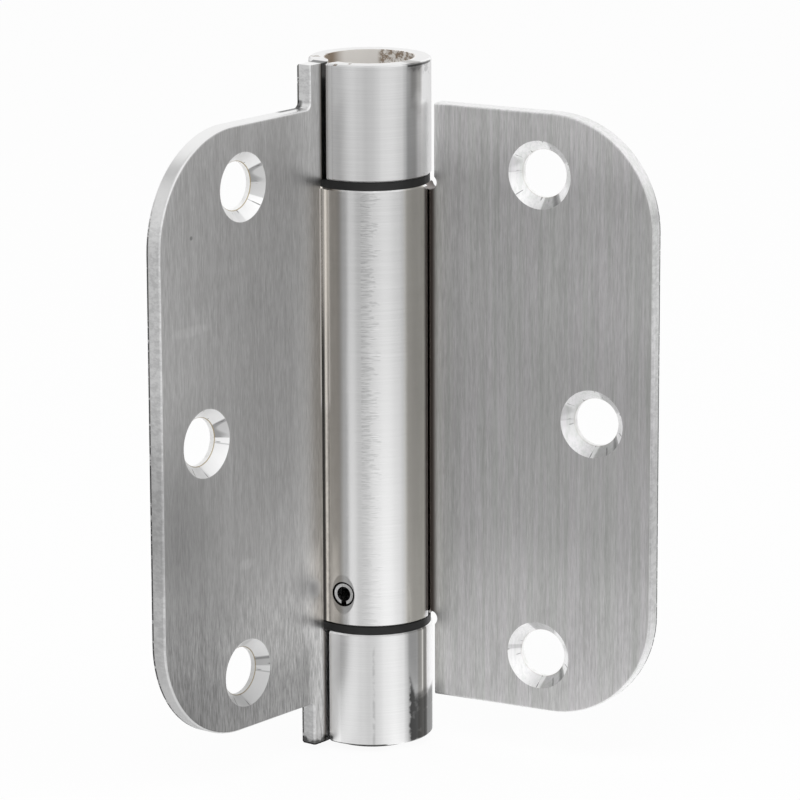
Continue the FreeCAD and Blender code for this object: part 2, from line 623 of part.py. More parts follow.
# Roll pin: a slotted tube, square to the door leaf, from the front wall into the anchor
roll_pin = new_body("roll_pin")
pin_section = new_sketch(roll_pin, "roll_pin_section", "XZ_Plane")
circle(pin_section, "outside", "0", "0", "sizes.roll_pin_radius")
circle(pin_section, "inside", "0", "0", "sizes.roll_pin_radius - sizes.roll_pin_wall")
doc.recompute()
ROLL_PIN_LENGTH = "(sizes.barrel_radius - sizes.roll_pin_recess + %s - sizes.roll_pin_stop)" % BORE
pad(roll_pin, "roll_pin_tube", pin_section, ROLL_PIN_LENGTH, reverse=True)
slot_sketch = new_sketch(roll_pin, "roll_pin_slot_place", "XZ_Plane")
rectangle(slot_sketch, "-sizes.roll_pin_slot / 2", "sizes.roll_pin_slot / 2",
          "-sizes.roll_pin_radius - sizes.cut_margin", "0")
doc.recompute()
pocket(roll_pin, "roll_pin_slot_cut", slot_sketch, ROLL_PIN_LENGTH)


def on_pin_end(spot):
    on_end = near(spot.y, 0) or near(spot.y, number(ROLL_PIN_LENGTH))
    return on_end and near(math.hypot(spot.x, spot.z), number("sizes.roll_pin_radius"))


bevelled(roll_pin, "roll_pin_end_bevels", on_pin_end, "sizes.roll_pin_bevel")
pin_front = V(0, -number("sizes.barrel_radius - sizes.roll_pin_recess"), 0)
roll_pin.Placement = FreeCAD.Placement(
    V(0, 0, number(ROLL_PIN_Z)) + door_turn.multVec(pin_front), door_turn)

# Torsion spring: left-hand coils of square wire, and at each end the wire turns in and
# crosses the axis. The turns come in halves, plus the part turn that lines both ends up
# with the slots of the arbors.
torsion_spring = new_body("torsion_spring")
LEAD = "(asin(sizes.hook_radius / (%s - sizes.hook_radius)) / 1deg)" % COIL
STRAIGHT = "sqrt((%s - sizes.hook_radius)^2 - sizes.hook_radius^2)" % COIL
COIL_HEIGHT = "(%s - %s)" % (SPRING_HEAD, SPRING_FOOT)
PART_TURN = "((180 + sizes.leaf_angle - sizes.pin_swing - 2 * %s) / 360)" % LEAD
HALF_TURNS = "floor(2 * (%s / sizes.coil_pitch - %s))" % (COIL_HEIGHT, PART_TURN)
TURNS = "(%s / 2 + %s)" % (HALF_TURNS, PART_TURN)


def wire_section(sketch, middle):
    """Square section of the wire, with its middle this far from the axis."""
    half = "sizes.wire_side / 2"
    return rectangle(sketch, "%s - %s" % (middle, half), "%s + %s" % (middle, half),
                     "-" + half, half)


wire = new_sketch(torsion_spring, "torsion_spring_wire", "XZ_Plane")
wire_section(wire, COIL)
doc.recompute()
coils = torsion_spring.newObject("PartDesign::AdditiveHelix", "torsion_spring_coils")
coils.Profile = wire
coils.ReferenceAxis = (wire, ["V_Axis"])
coils.Mode = "height-turns-angle"
coils.LeftHanded = True
coils.setExpression("Height", COIL_HEIGHT)
coils.setExpression("Turns", TURNS)
doc.recompute()


def hook(tag, height, turn, reverse):
    """End of the wire: a bend in the level plane, then a straight run across the axis."""
    lead = number(LEAD)
    bend_sketch = new_sketch(torsion_spring, "torsion_spring_%s_bend" % tag, "XZ_Plane",
                             V(0, number(height), 0), FreeCAD.Rotation(V(0, 1, 0), turn))
    bend_sketch.setExpression("AttachmentOffset.Base.y", height)
    wire_section(bend_sketch, COIL)
    middle = number(COIL + " - sizes.hook_radius")
    axis = bend_sketch.addGeometry(Part.LineSegment(V(middle, -1, 0), V(middle, 1, 0)), True)
    bend_sketch.addConstraint(Sketcher.Constraint("Vertical", axis))
    bind(bend_sketch, "across", "DistanceX", (-1, 1, axis, 1), COIL + " - sizes.hook_radius")
    doc.recompute()
    bend = torsion_spring.newObject("PartDesign::Revolution", "torsion_spring_%s_hook" % tag)
    bend.Profile = bend_sketch
    bend.ReferenceAxis = (bend_sketch, ["Axis0"])
    bend.Angle = 90 + lead
    bend.Reversed = reverse
    doc.recompute()
    run_turn = turn - lead if reverse else turn + lead
    spot = FreeCAD.Rotation(V(0, 0, 1), run_turn).multVec(V(number(STRAIGHT), 0, 0))
    run_sketch = new_sketch(torsion_spring, "torsion_spring_%s_run" % tag, "YZ_Plane",
                            V(spot.y, number(height), spot.x), FreeCAD.Rotation(V(0, 1, 0), run_turn))
    run_sketch.setExpression("AttachmentOffset.Base.y", height)
    wire_section(run_sketch, "0")
    doc.recompute()
    pad(torsion_spring, "torsion_spring_%s_end" % tag, run_sketch,
        "%s + %s - sizes.hook_short" % (STRAIGHT, ARBOR), reverse=True)


hook("lower", "0", 0, False)
hook("upper", COIL_HEIGHT, -360 * number(TURNS), True)
spring_turn = FreeCAD.Rotation(V(0, 0, 1), 180 + number("sizes.leaf_angle - " + LEAD))
torsion_spring.Placement = FreeCAD.Placement(V(0, 0, number(SPRING_FOOT)), spring_turn)

sub_parts = [frame_leaf, door_leaf, upper_bearing_bush, lower_bearing_bush, bottom_end_plug,
             anchor_plug, tension_adjuster, tension_pin, roll_pin, torsion_spring]
doc.recompute()
for item in doc.Objects:
    if any(flag in item.State for flag in ("Invalid", "Error")):
        raise ValueError("%s failed: %s" % (item.Name, item.State))
os.makedirs("parts", exist_ok=True)
for part in sub_parts:
    shape = part.Shape
    if shape.isNull() or not shape.isValid():
        raise ValueError(part.Label + " has no valid shape")
    shape.exportStep("parts/%s.step" % part.Label)
    box = shape.BoundBox
    print(part.Label, len(shape.Solids), round(shape.Volume, 1),
          [round(v, 2) for v in (box.XMin, box.XMax, box.YMin, box.YMax, box.ZMin, box.ZMax)])
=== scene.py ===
# %% [markdown]
# # Spring loaded door hinge
#
# This lesson dresses a self-closing butt hinge. The frame already holds every piece in its
# true size and place: two leaves rolled from sheet, two black bushes, the plug at the foot,
# and the spring mechanism inside the barrel. What is left for this script is what the camera
# sees: brushed satin nickel, freshly cut countersinks, black nylon, and the soft white tent
# of a product photograph. Metal shows little colour of its own. It shows the room around it,
# so the room gets as much care as the metal.

# %% Load the frame and measure it
import math
import bpy
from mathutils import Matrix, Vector


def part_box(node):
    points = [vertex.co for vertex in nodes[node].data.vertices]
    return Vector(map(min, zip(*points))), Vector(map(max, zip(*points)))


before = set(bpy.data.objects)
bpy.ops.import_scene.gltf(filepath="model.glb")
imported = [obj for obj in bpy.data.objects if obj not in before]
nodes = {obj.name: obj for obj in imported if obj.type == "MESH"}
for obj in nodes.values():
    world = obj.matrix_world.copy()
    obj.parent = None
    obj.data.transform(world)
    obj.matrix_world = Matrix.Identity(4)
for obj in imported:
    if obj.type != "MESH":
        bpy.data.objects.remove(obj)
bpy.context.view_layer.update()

for name in sorted(nodes):
    low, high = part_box(name)
    spans = [round((b - a) * 1000, 1) for a, b in zip(low, high)]
    print(name, "spans", spans, "mm,", len(nodes[name].data.polygons), "faces")

# %% [markdown]
# ## Helpers for node trees
#
# A shader is easier to read as a list of sums than as a picture of boxes. `put` adds one
# node, fills its sockets with numbers or with links, and hands the node back. `calc` does
# the same for one step of arithmetic and hands back its result.

# %% Helpers for node trees
def put(tree, kind, sockets=None, **settings):
    """One node of this kind. A socket takes a number, a vector or another node's output."""
    node = tree.nodes.new("ShaderNode" + kind)
    for key, value in settings.items():
        setattr(node, key, value)
    for key, value in (sockets or {}).items():
        if isinstance(value, bpy.types.NodeSocket):
            tree.links.new(value, node.inputs[key])
        else:
            node.inputs[key].default_value = value
    return node


def calc(tree, operation, *values):
    """Result of one step of arithmetic."""
    return put(tree, "Math", dict(enumerate(values)), operation=operation).outputs[0]


def squares(tree, first, second):
    """Sum of the squares of two values."""
    return calc(tree, "ADD", calc(tree, "MULTIPLY", first, first),
                calc(tree, "MULTIPLY", second, second))


def ramp(tree, value, low, high, out_low=0.0, out_high=1.0):
    """Smooth step from out_low to out_high as value goes from low to high."""
    sockets = {"Value": value, "From Min": low, "From Max": high,
               "To Min": out_low, "To Max": out_high}
    return put(tree, "MapRange", sockets, interpolation_type="SMOOTHSTEP").outputs["Result"]


def mixed(tree, factor, first, second):
    """Colour between first and second."""
    node = put(tree, "Mix", {"Factor": factor}, data_type="RGBA")
    for socket, value in ((node.inputs[6], first), (node.inputs[7], second)):
        if isinstance(value, bpy.types.NodeSocket):
            tree.links.new(value, socket)
        else:
            socket.default_value = value
    return node.outputs[2]


def new_group(name, inputs, outputs):
    """Empty node group with named sockets. Each is given as a pair of name and type."""
    tree = bpy.data.node_groups.new(name, "ShaderNodeTree")
    for label, kind in inputs:
        tree.interface.new_socket(label, in_out="INPUT", socket_type="NodeSocket" + kind)
    for label, kind in outputs:
        tree.interface.new_socket(label, in_out="OUTPUT", socket_type="NodeSocket" + kind)
    return tree, tree.nodes.new("NodeGroupInput").outputs, tree.nodes.new("NodeGroupOutput").inputs


def use_group(tree, name, **sockets):
    """The group's node in another tree, with its inputs filled by name."""
    node = tree.nodes.new("ShaderNodeGroup")
    node.node_tree = bpy.data.node_groups[name]
    for key, value in sockets.items():
        socket = node.inputs[key.replace("_", " ")]
        if isinstance(value, bpy.types.NodeSocket):
            tree.links.new(value, socket)
        else:
            socket.default_value = value
    return node.outputs


def grey(level, warmth=0.0):
    """A grey in linear light, a little warmer or cooler."""
    return (level * (1 + warmth), level, level * (1 - warmth), 1)


def new_material(name):
    """Material with one Principled shader, ready to be wired."""
    material = bpy.data.materials.new(name)
    material.use_nodes = True
    tree = material.node_tree
    tree.nodes.clear()
    shader = put(tree, "BsdfPrincipled")
    put(tree, "OutputMaterial", {"Surface": shader.outputs[0]})
    return material, tree, shader.inputs


print("helpers ready")

# %% [markdown]
# ## Angle round the pin line
#
# The barrel's painted reflection bands and the tent's bands are both drawn by angle, seen
# from above, from the line that runs to where the photographer stood. One group gives that
# angle from 0 to 1, with 0.5 towards the photographer. `tone_by_angle` reads a list of degrees
# and levels against it.

# %% Group: angle round the pin line
CAMERA_PLACE = Vector((-0.54294, -0.43485, 0.21364))
CAMERA_AIM = Vector((0.00261, -0.00330, 0.05131))

tree, given, wanted = new_group("Angle round the pin line", [("Point", "Vector")],
                                [("Angle", "Float")])
level_view = Vector((CAMERA_AIM.x - CAMERA_PLACE.x, CAMERA_AIM.y - CAMERA_PLACE.y, 0)).normalized()
to_camera = -level_view
to_right = Vector((level_view.y, -level_view.x, 0))
towards = put(tree, "VectorMath", {0: given["Point"], 1: to_camera}, operation="DOT_PRODUCT")
aside = put(tree, "VectorMath", {0: given["Point"], 1: to_right}, operation="DOT_PRODUCT")
angle = calc(tree, "ARCTAN2", aside.outputs["Value"], towards.outputs["Value"])
turn_share = put(tree, "MapRange", {"Value": angle, "From Min": -math.pi, "From Max": math.pi})
tree.links.new(turn_share.outputs["Result"], wanted["Angle"])


def tone_by_angle(tree, angle, stops, peak=1.0):
    """Grey level read from pairs of degrees and level. Levels may go up to the peak."""
    bands = put(tree, "ValToRGB", {0: angle})
    bands.color_ramp.interpolation = "EASE"
    elements = bands.color_ramp.elements
    while len(elements) < len(stops):
        elements.new(0.5)
    for element, (degrees, level) in zip(elements, stops):
        element.position = (degrees + 180) / 360
        element.color = (level / peak,) * 3 + (1,)
    return put(tree, "VectorMath", {0: bands.outputs[0], "Scale": peak},
               operation="SCALE").outputs[0]


print("right of the camera is", [round(v, 3) for v in to_right])

# %% [markdown]
# ## The grain of brushed metal
#
# A belt leaves thousands of short parallel scratches. Noise gives the same look when its
# space is squeezed across the scratches and stretched along them. The group takes the
# stretch as a vector, so the same grain runs up the leaves and round the barrel. A second,
# much wider noise adds the faint bands that a worn belt leaves.

# %% Group: brushed grain
tree, given, wanted = new_group(
    "Brushed grain",
    [("Place", "Vector"), ("Fine", "Vector"), ("Broad", "Vector")],
    [("Grain", "Float"), ("Bands", "Float")])
fine_space = put(tree, "VectorMath", {0: given["Place"], 1: given["Fine"]}, operation="MULTIPLY")
fine = put(tree, "TexNoise", {"Vector": fine_space.outputs[0], "Scale": 1.0, "Detail": 3.0,
                              "Roughness": 0.62})
broad_space = put(tree, "VectorMath", {0: given["Place"], 1: given["Broad"]}, operation="MULTIPLY")
broad = put(tree, "TexNoise", {"Vector": broad_space.outputs[0], "Scale": 1.0, "Detail": 2.0})
tree.links.new(fine.outputs["Fac"], wanted["Grain"])
tree.links.new(broad.outputs["Fac"], wanted["Bands"])
print("group", tree.name, "has", len(tree.nodes), "nodes")

# %% [markdown]
# ## Where a point lies on its leaf
#
# Both leaves share one section, so their finish can share one set of masks. The group turns
# the row frame until the leaf lies along +X and gives the place in millimetres: X outwards
# from the pin line, Y through the sheet, Z up. The face lies on one side of the pin line on
# the frame leaf and on the other side on the door leaf, so Y has a different sign there. The
# barrel is what lies within its radius of the pin line. A cut face is one whose normal
# doesn't point straight out of the sheet.

# %% Group: place on a leaf
BARREL_EDGE = 9.15
BORE_EDGE = 6.62

tree, given, wanted = new_group(
    "Leaf zones",
    [("Point", "Vector"), ("Facing", "Vector"), ("Turn", "Float")],
    [("Place", "Vector"), ("Barrel", "Float"), ("Bore", "Float"), ("Cut", "Float"),
     ("Rise", "Float")])
turned = []
for source in ("Point", "Facing"):
    turned.append(put(tree, "VectorRotate", {"Vector": given[source], "Angle": given["Turn"]},
                      rotation_type="Z_AXIS").outputs[0])
millimetres = put(tree, "VectorMath", {0: turned[0], "Scale": 1000.0}, operation="SCALE").outputs[0]
axes = put(tree, "SeparateXYZ", {0: millimetres}).outputs
facing = put(tree, "SeparateXYZ", {0: turned[1]}).outputs
radius = calc(tree, "SQRT", squares(tree, axes[0], axes[1]))
barrel = ramp(tree, radius, BARREL_EDGE + 0.1, BARREL_EDGE)
bore = ramp(tree, radius, BORE_EDGE + 0.1, BORE_EDGE)
square_on = calc(tree, "ABSOLUTE", facing[1])
outside = calc(tree, "SUBTRACT", 1.0, barrel)
cut = calc(tree, "MULTIPLY", ramp(tree, square_on, 0.97, 0.8), outside)
tree.links.new(millimetres, wanted["Place"])
tree.links.new(barrel, wanted["Barrel"])
tree.links.new(bore, wanted["Bore"])
tree.links.new(cut, wanted["Cut"])
tree.links.new(facing[2], wanted["Rise"])
print("group", tree.name, "has", len(tree.nodes), "nodes")

# %% [markdown]
# ## Countersinks
#
# The three holes of a leaf are two at the same distance from the pin line and one further
# out, level with the middle. Folding the height about the middle makes the outer two one
# hole, so the group only has to choose between two centres. A fresh cone is bright, and its
# colour carries painted reflections of the tent as light and dark sectors, so the group also
# gives the angle round the hole, with a little wobble. Where the tool chattered it left a few
# dark rays, which are noise read on a circle.

# %% Group: countersinks
HOLE_LEVEL = 51.25
HOLE_RISE = 35.75
HOLE_INNER = 26.85
HOLE_OUTER = 35.4
SINK_RADIUS = 5.0

tree, given, wanted = new_group(
    "Countersink", [("Place", "Vector")],
    [("Sink", "Float"), ("Around", "Float"), ("Rays", "Float"), ("Distance", "Float")])
axes = put(tree, "SeparateXYZ", {0: given["Place"]}).outputs
rise = calc(tree, "SUBTRACT", axes[2], HOLE_LEVEL)
folded = calc(tree, "ABSOLUTE", rise)
far = calc(tree, "GREATER_THAN", folded, HOLE_RISE / 2)
up = calc(tree, "SUBTRACT", folded, calc(tree, "MULTIPLY", far, HOLE_RISE))
centre = calc(tree, "SUBTRACT", HOLE_OUTER, calc(tree, "MULTIPLY", far, HOLE_OUTER - HOLE_INNER))
out = calc(tree, "SUBTRACT", axes[0], centre)
distance = calc(tree, "SQRT", squares(tree, up, out))
spread = put(tree, "CombineXYZ", {0: out, 1: up, 2: calc(tree, "SIGN", rise)}).outputs[0]
ring = put(tree, "VectorMath", {0: spread}, operation="NORMALIZE").outputs[0]
rays = put(tree, "TexNoise", {"Vector": ring, "Scale": 9.0, "Detail": 2.0}).outputs["Fac"]
wobble = put(tree, "TexNoise", {"Vector": ring, "Scale": 1.3, "Detail": 0.0}).outputs["Fac"]
real_up = calc(tree, "MULTIPLY", up, calc(tree, "SIGN", rise))
around = calc(tree, "ARCTAN2", real_up, out)
around = calc(tree, "ADD", around, ramp(tree, wobble, 0.2, 0.8, -0.4, 0.4))
turn_share = put(tree, "MapRange", {"Value": around, "From Min": -math.pi, "From Max": math.pi})
tree.links.new(ramp(tree, distance, SINK_RADIUS + 0.12, SINK_RADIUS + 0.02), wanted["Sink"])
tree.links.new(turn_share.outputs["Result"], wanted["Around"])
tree.links.new(rays, wanted["Rays"])
tree.links.new(distance, wanted["Distance"])
print("group", tree.name, "has", len(tree.nodes), "nodes")

# %% [markdown]
# ## Specks
#
# Handling and packing leave small dark pits and dots, a few on each face. Cells of a Voronoi
# pattern give the dots. A second noise decides which cells get one, so most stay clean.

# %% Group: specks
tree, given, wanted = new_group("Specks", [("Place", "Vector"), ("Spacing", "Float"),
                                           ("Size", "Float")], [("Speck", "Float")])
share = calc(tree, "DIVIDE", 1.0, given["Spacing"])
cell_space = put(tree, "VectorMath", {0: given["Place"], "Scale": share}, operation="SCALE")
cells = put(tree, "TexVoronoi", {"Vector": cell_space.outputs[0], "Scale": 1.0})
lucky = put(tree, "SeparateColor", {0: cells.outputs["Color"]}).outputs[0]
chosen = calc(tree, "GREATER_THAN", lucky, 0.55)
spot_size = calc(tree, "MULTIPLY", given["Size"], share)
inside = calc(tree, "DIVIDE", cells.outputs["Distance"], spot_size)
tree.links.new(calc(tree, "MULTIPLY", chosen, ramp(tree, inside, 1.0, 0.4)), wanted["Speck"])
print("group", tree.name, "has", len(tree.nodes), "nodes")

# %% [markdown]
# ## Satin nickel
#
# One recipe serves both leaves. The flat faces are a middle grey with an upright grain. The
# barrel has been polished on a lathe, so its grain runs round it, and painted reflection bands
# make it brighter. Cut faces are bright steel that shows where the shear went through. These
# are the tones of the recipe, and the two heights in millimetres between which the long
# knuckle stands.

# %% Tones and heights
FACE_DARK = grey(0.48, 0.008)
FACE_LIGHT = grey(0.62, 0.004)
PAINTED_TOP_HIGHLIGHT = grey(0.88, 0.002)
END_COLOUR = grey(0.86, 0.004)
HOLE_WALL = (1.0, 1.0, 0.99, 1)
HOLE_RIM = (0.42, 0.34, 0.20, 1)
BORE_DARK = (0.30, 0.23, 0.17, 1)
BORE_LIGHT = (0.86, 0.83, 0.79, 1)
SEAM_SHADE = (0.20, 0.18, 0.16, 1)
DIRT_AND_SHADE = grey(0.12)
LONG_KNUCKLE_FOOT = 19.0
LONG_KNUCKLE_HEAD = 84.3
ABOVE_BARREL = 103.0
print("the long knuckle is", round(LONG_KNUCKLE_HEAD - LONG_KNUCKLE_FOOT, 1), "mm high")

# %% [markdown]
# ## Masks
#
# A mask is a number from 0 to 1 at every point. Masks multiply: the product is 1 only where
# each of them is. Most of the wear, painted light and painted shade below is placed this way,
# by height, by distance from the pin line, and by angle round it.

# %% Helpers for masks
def scaled(tree, colour, factor):
    """Colour times a number."""
    return put(tree, "VectorMath", {0: colour, "Scale": factor}, operation="SCALE").outputs[0]


def product(tree, first, *others):
    """All the masks multiplied."""
    for other in others:
        first = calc(tree, "MULTIPLY", first, other)
    return first


def degrees_between(tree, degrees, low, high, soft=2.0):
    """Mask by angle round the pin line, soft at both ends."""
    rising = ramp(tree, calc(tree, "SUBTRACT", degrees, low), -soft, soft)
    falling = ramp(tree, calc(tree, "SUBTRACT", degrees, high), soft, -soft)
    return product(tree, rising, falling)


def weighed(tree, marks, share):
    """Fine grain and broad bands added up, the grain with this share."""
    return calc(tree, "ADD", calc(tree, "MULTIPLY", marks["Grain"], share),
                calc(tree, "MULTIPLY", marks["Bands"], 1.0 - share))


print("masks ready")

# %% [markdown]
# ## Flat faces
#
# The face carries an upright grain whose tone drifts slowly over height and width. Each leaf
# gives three numbers for that: the tone at its foot near the pin line, at its foot far out,
# and along its top. Near the foot the belt also left short strokes, dark and bright, and the
# corner beside the barrel gets painted shade, between the heights that the leaf names.

# %% Colour of the flat faces
def drifting_tone(tree, axes, look):
    """Tone of the face at this height and this distance from the pin line."""
    far = ramp(tree, axes[0], 13.0, 38.0)
    foot = ramp(tree, axes[2], 50.0, 14.0)
    head = ramp(tree, axes[2], 84.0, 95.0)
    spread = look["low_far"] - look["low_near"]
    low_tone = calc(tree, "ADD", look["low_near"], calc(tree, "MULTIPLY", far, spread))
    foot_part = calc(tree, "MULTIPLY", foot, calc(tree, "SUBTRACT", low_tone, 1.0))
    head_part = calc(tree, "MULTIPLY", head, look["top"] - 1.0)
    return calc(tree, "ADD", calc(tree, "ADD", 1.0, foot_part), head_part)


def face_colour(tree, place, axes, grain, look):
    """Grain, drift of tone, strokes near the foot and painted shade in the corner."""
    face = mixed(tree, ramp(tree, weighed(tree, grain, 0.72), 0.32, 0.68), FACE_DARK, FACE_LIGHT)
    face = scaled(tree, face, drifting_tone(tree, axes, look))
    strokes = use_group(tree, "Brushed grain", Place=place, Fine=(5.2, 5.2, 0.52),
                        Broad=(1.0, 1.0, 0.1))["Grain"]
    strong = ramp(tree, axes[2], 34.0, 16.0, 0.25 * look["strokes"], look["strokes"])
    for start, full, factor in ((0.52, 0.62, 0.76), (0.48, 0.36, 1.24)):
        stroke = product(tree, strong, ramp(tree, strokes, start, full))
        face = mixed(tree, stroke, face, scaled(tree, face, factor))
    in_reach = 0.0
    for low, high in look["shaded"]:
        above = calc(tree, "GREATER_THAN", axes[2], low)
        below = calc(tree, "LESS_THAN", axes[2], high)
        in_reach = calc(tree, "ADD", in_reach, product(tree, above, below))
    # Painted shade in the corner beside the barrel.
    corner = ramp(tree, axes[0], 10.0, 9.1)
    return mixed(tree, product(tree, corner, in_reach, 0.95), face, SEAM_SHADE)


print("flat faces ready")

# %% [markdown]
# ## Barrel, bore and cut faces
#
# The barrel's tones go by angle: they are painted reflection bands. The shader shows a level
# above 1 as 1, so such a level only makes the slopes beside it steeper. The bore keeps brown
# stains. A countersink shows painted reflection sectors, dark rays, a brown rim and the bright
# wall of its hole. A cut edge is mottled and grows paler low down, along its back edge runs a
# dark ragged line of painted shade, and an edge that faces upwards takes a painted highlight.

# %% Colours of the barrel, the bore and the cut faces
BAND_PEAK = 1.5


def barrel_colour(tree, angle, grain, rise, bands):
    """Painted reflection bands by angle with a faint grain round the barrel, and bright ends."""
    # Painted reflection bands by angle round the barrel.
    barrel = tone_by_angle(tree, angle, bands, BAND_PEAK)
    barrel = scaled(tree, barrel, ramp(tree, grain, 0.3, 0.7, 0.965, 1.03))
    ends = ramp(tree, calc(tree, "ABSOLUTE", rise), 0.85, 0.97)
    return mixed(tree, ends, barrel, END_COLOUR)


def bore_colour(tree, place, degrees):
    """Bright bore with a rough patch of rust on one side and a smooth dark brown band on the other.
    """
    skin = put(tree, "TexNoise", {"Vector": place, "Scale": 1.3, "Detail": 4.0, "Roughness": 0.7})
    rust = product(tree, degrees_between(tree, degrees, 100.0, 168.0, 4.0),
                   ramp(tree, skin.outputs["Fac"], 0.43, 0.57))
    bore = mixed(tree, rust, BORE_LIGHT, BORE_DARK)
    return mixed(tree, degrees_between(tree, degrees, -134.0, -70.0, 14.0), bore, BORE_DARK)


def cone_colour(tree, sink, look):
    """Painted reflection sectors by angle, dark rays, the rim and the wall of the hole."""
    # Painted reflection sectors round the cone.
    cone = tone_by_angle(tree, sink["Around"], look["cones"])
    cone = scaled(tree, cone, ramp(tree, sink["Rays"], 0.66, 0.72, 1.0, 0.4))
    cone = mixed(tree, ramp(tree, sink["Distance"], 3.66, 3.58, 0.0, look["rim"]), cone, HOLE_RIM)
    return mixed(tree, ramp(tree, sink["Distance"], 3.53, 3.51), cone, HOLE_WALL)


def edge_colour(tree, axes, rise, mottle, past_neck, level):
    """Cut edges of the sheet, with a dark ragged line of painted shade along the back edge. Those
    that face upwards take a painted highlight.
    """
    upright = mixed(tree, ramp(tree, mottle, 0.35, 0.65), grey(level * 0.8), grey(level))
    low_edge = product(tree, past_neck, ramp(tree, axes[2], 26.0, 11.0))
    upright = mixed(tree, low_edge, upright, grey(1.0))
    reach = calc(tree, "MAXIMUM", ramp(tree, axes[0], 20.0, 26.0), ramp(tree, axes[2], 7.4, 6.8))
    reach = calc(tree, "MAXIMUM", reach, ramp(tree, axes[2], 96.3, 96.6))
    # Painted shade: a dark ragged line along the back edge of the cut face.
    back_edge_shade = product(tree, ramp(tree, calc(tree, "ABSOLUTE", axes[1]), 3.66, 3.78),
                   ramp(tree, mottle, 0.36, 0.46), reach)
    upright = mixed(tree, back_edge_shade, upright, DIRT_AND_SHADE)
    # Painted highlight on edges that face upwards.
    return mixed(tree, ramp(tree, rise, 0.0, 0.6), upright, PAINTED_TOP_HIGHLIGHT)


print("barrel and cut faces ready")

# %% [markdown]
# ## The recipe
#
# The recipe puts the zones together and gives the parts back, so that wear, painted light and
# painted shade can be placed on them. The grain also feeds a very low bump, because scratches
# that only change colour look printed on. The helper at the end of this cell then darkens or
# brightens what a leaf has, where all its masks are 1.

# %% Recipe for satin nickel
from types import SimpleNamespace


def satin_nickel(name, look):
    """Material of one leaf. The look holds the turn that lays the leaf along +X, the painted
    reflection tones of the barrel and of the cones by angle, how brown the rims are, the barrel's
    lowest and highest roughness, the numbers of the face, the tone of upright edges, and how
    metallic the cones are."""
    material, tree, shader = new_material(name)
    coordinates = put(tree, "TexCoord").outputs
    zones = use_group(tree, "Leaf zones", Point=coordinates["Object"],
                      Facing=coordinates["Normal"], Turn=look["turn"])
    place = zones["Place"]
    axes = put(tree, "SeparateXYZ", {0: place}).outputs
    angle = use_group(tree, "Angle round the pin line", Point=coordinates["Object"])["Angle"]
    degrees = calc(tree, "SUBTRACT", calc(tree, "MULTIPLY", angle, 360.0), 180.0)
    sink = use_group(tree, "Countersink", Place=place)
    upright = use_group(tree, "Brushed grain", Place=place, Fine=(6.5, 6.5, 0.5),
                        Broad=(0.7, 0.7, 0.03))
    level = use_group(tree, "Brushed grain", Place=place, Fine=(0.07, 0.07, 9.0),
                      Broad=(0.05, 0.05, 0.8))["Grain"]
    mottle = use_group(tree, "Brushed grain", Place=place, Fine=(0.9, 0.9, 1.6),
                       Broad=(0.25, 0.25, 0.25))["Grain"]
    past_neck = ramp(tree, axes[0], 15.0, 17.0)

    face = face_colour(tree, place, axes, upright, look)
    barrel = barrel_colour(tree, angle, level, zones["Rise"], look["bands"])
    edge = edge_colour(tree, axes, zones["Rise"], mottle, past_neck, look["edge_level"])
    cut = mixed(tree, sink["Sink"], edge, cone_colour(tree, sink, look))
    colour = mixed(tree, zones["Barrel"], face, barrel)
    colour = mixed(tree, zones["Cut"], colour, cut)
    colour = mixed(tree, zones["Bore"], colour, bore_colour(tree, place, degrees))
    specks = use_group(tree, "Specks", Place=place, Spacing=9.0, Size=0.16)["Speck"]
    colour = mixed(tree, product(tree, specks, 0.6), colour, DIRT_AND_SHADE)
    tree.links.new(colour, shader["Base Color"])

    rough_face = ramp(tree, upright["Grain"], 0.3, 0.7, 0.30, 0.38)
    rough_barrel = ramp(tree, level, 0.3, 0.7, *look["sheen"])
    rough = put(tree, "Mix", {"Factor": zones["Barrel"], 2: rough_face, 3: rough_barrel})
    tree.links.new(rough.outputs[0], shader["Roughness"])
    metallic = calc(tree, "MINIMUM", ramp(tree, zones["Bore"], 0.0, 1.0, 1.0, 0.1),
                    ramp(tree, sink["Sink"], 0.0, 1.0, 1.0, look["cone_metal"]))
    beside_sink = calc(tree, "SUBTRACT", 1.0, sink["Sink"])
    pale_edge = product(tree, zones["Cut"], beside_sink, past_neck,
                        ramp(tree, axes[2], 22.0, 9.0, 0.0, 0.65))
    metallic = calc(tree, "MINIMUM", metallic, calc(tree, "SUBTRACT", 1.0, pale_edge))
    tree.links.new(metallic, shader["Metallic"])
    height = put(tree, "Mix", {"Factor": zones["Barrel"], 2: upright["Grain"], 3: level})
    bump = put(tree, "Bump", {"Height": height.outputs[0], "Strength": 0.15, "Distance": 0.00002})
    tree.links.new(bump.outputs[0], shader["Normal"])
    return SimpleNamespace(material=material, tree=tree, degrees=degrees, barrel=zones["Barrel"],
                           face=calc(tree, "SUBTRACT", 1.0, zones["Barrel"]),
                           out=axes[0], through=axes[1], up=axes[2])


def base_socket(tree):
    """Base Color input of the tree's Principled shader."""
    shader = [node for node in tree.nodes if node.type == "BSDF_PRINCIPLED"][0]
    return shader.inputs["Base Color"]


def wear_and_painted_light(leaf, factor, *masks):
    """Where the masks are 1, the base colour is this many times as bright, for wear and for painted
    light and shade. Three factors change red, green and blue each by their own."""
    socket = base_socket(leaf.tree)
    colour = socket.links[0].from_socket
    factors = factor if isinstance(factor, tuple) else (factor, factor, factor)
    stained = put(leaf.tree, "VectorMath", {0: colour, 1: factors}, operation="MULTIPLY").outputs[0]
    leaf.tree.links.new(mixed(leaf.tree, product(leaf.tree, *masks), colour, stained), socket)


print("recipe ready")
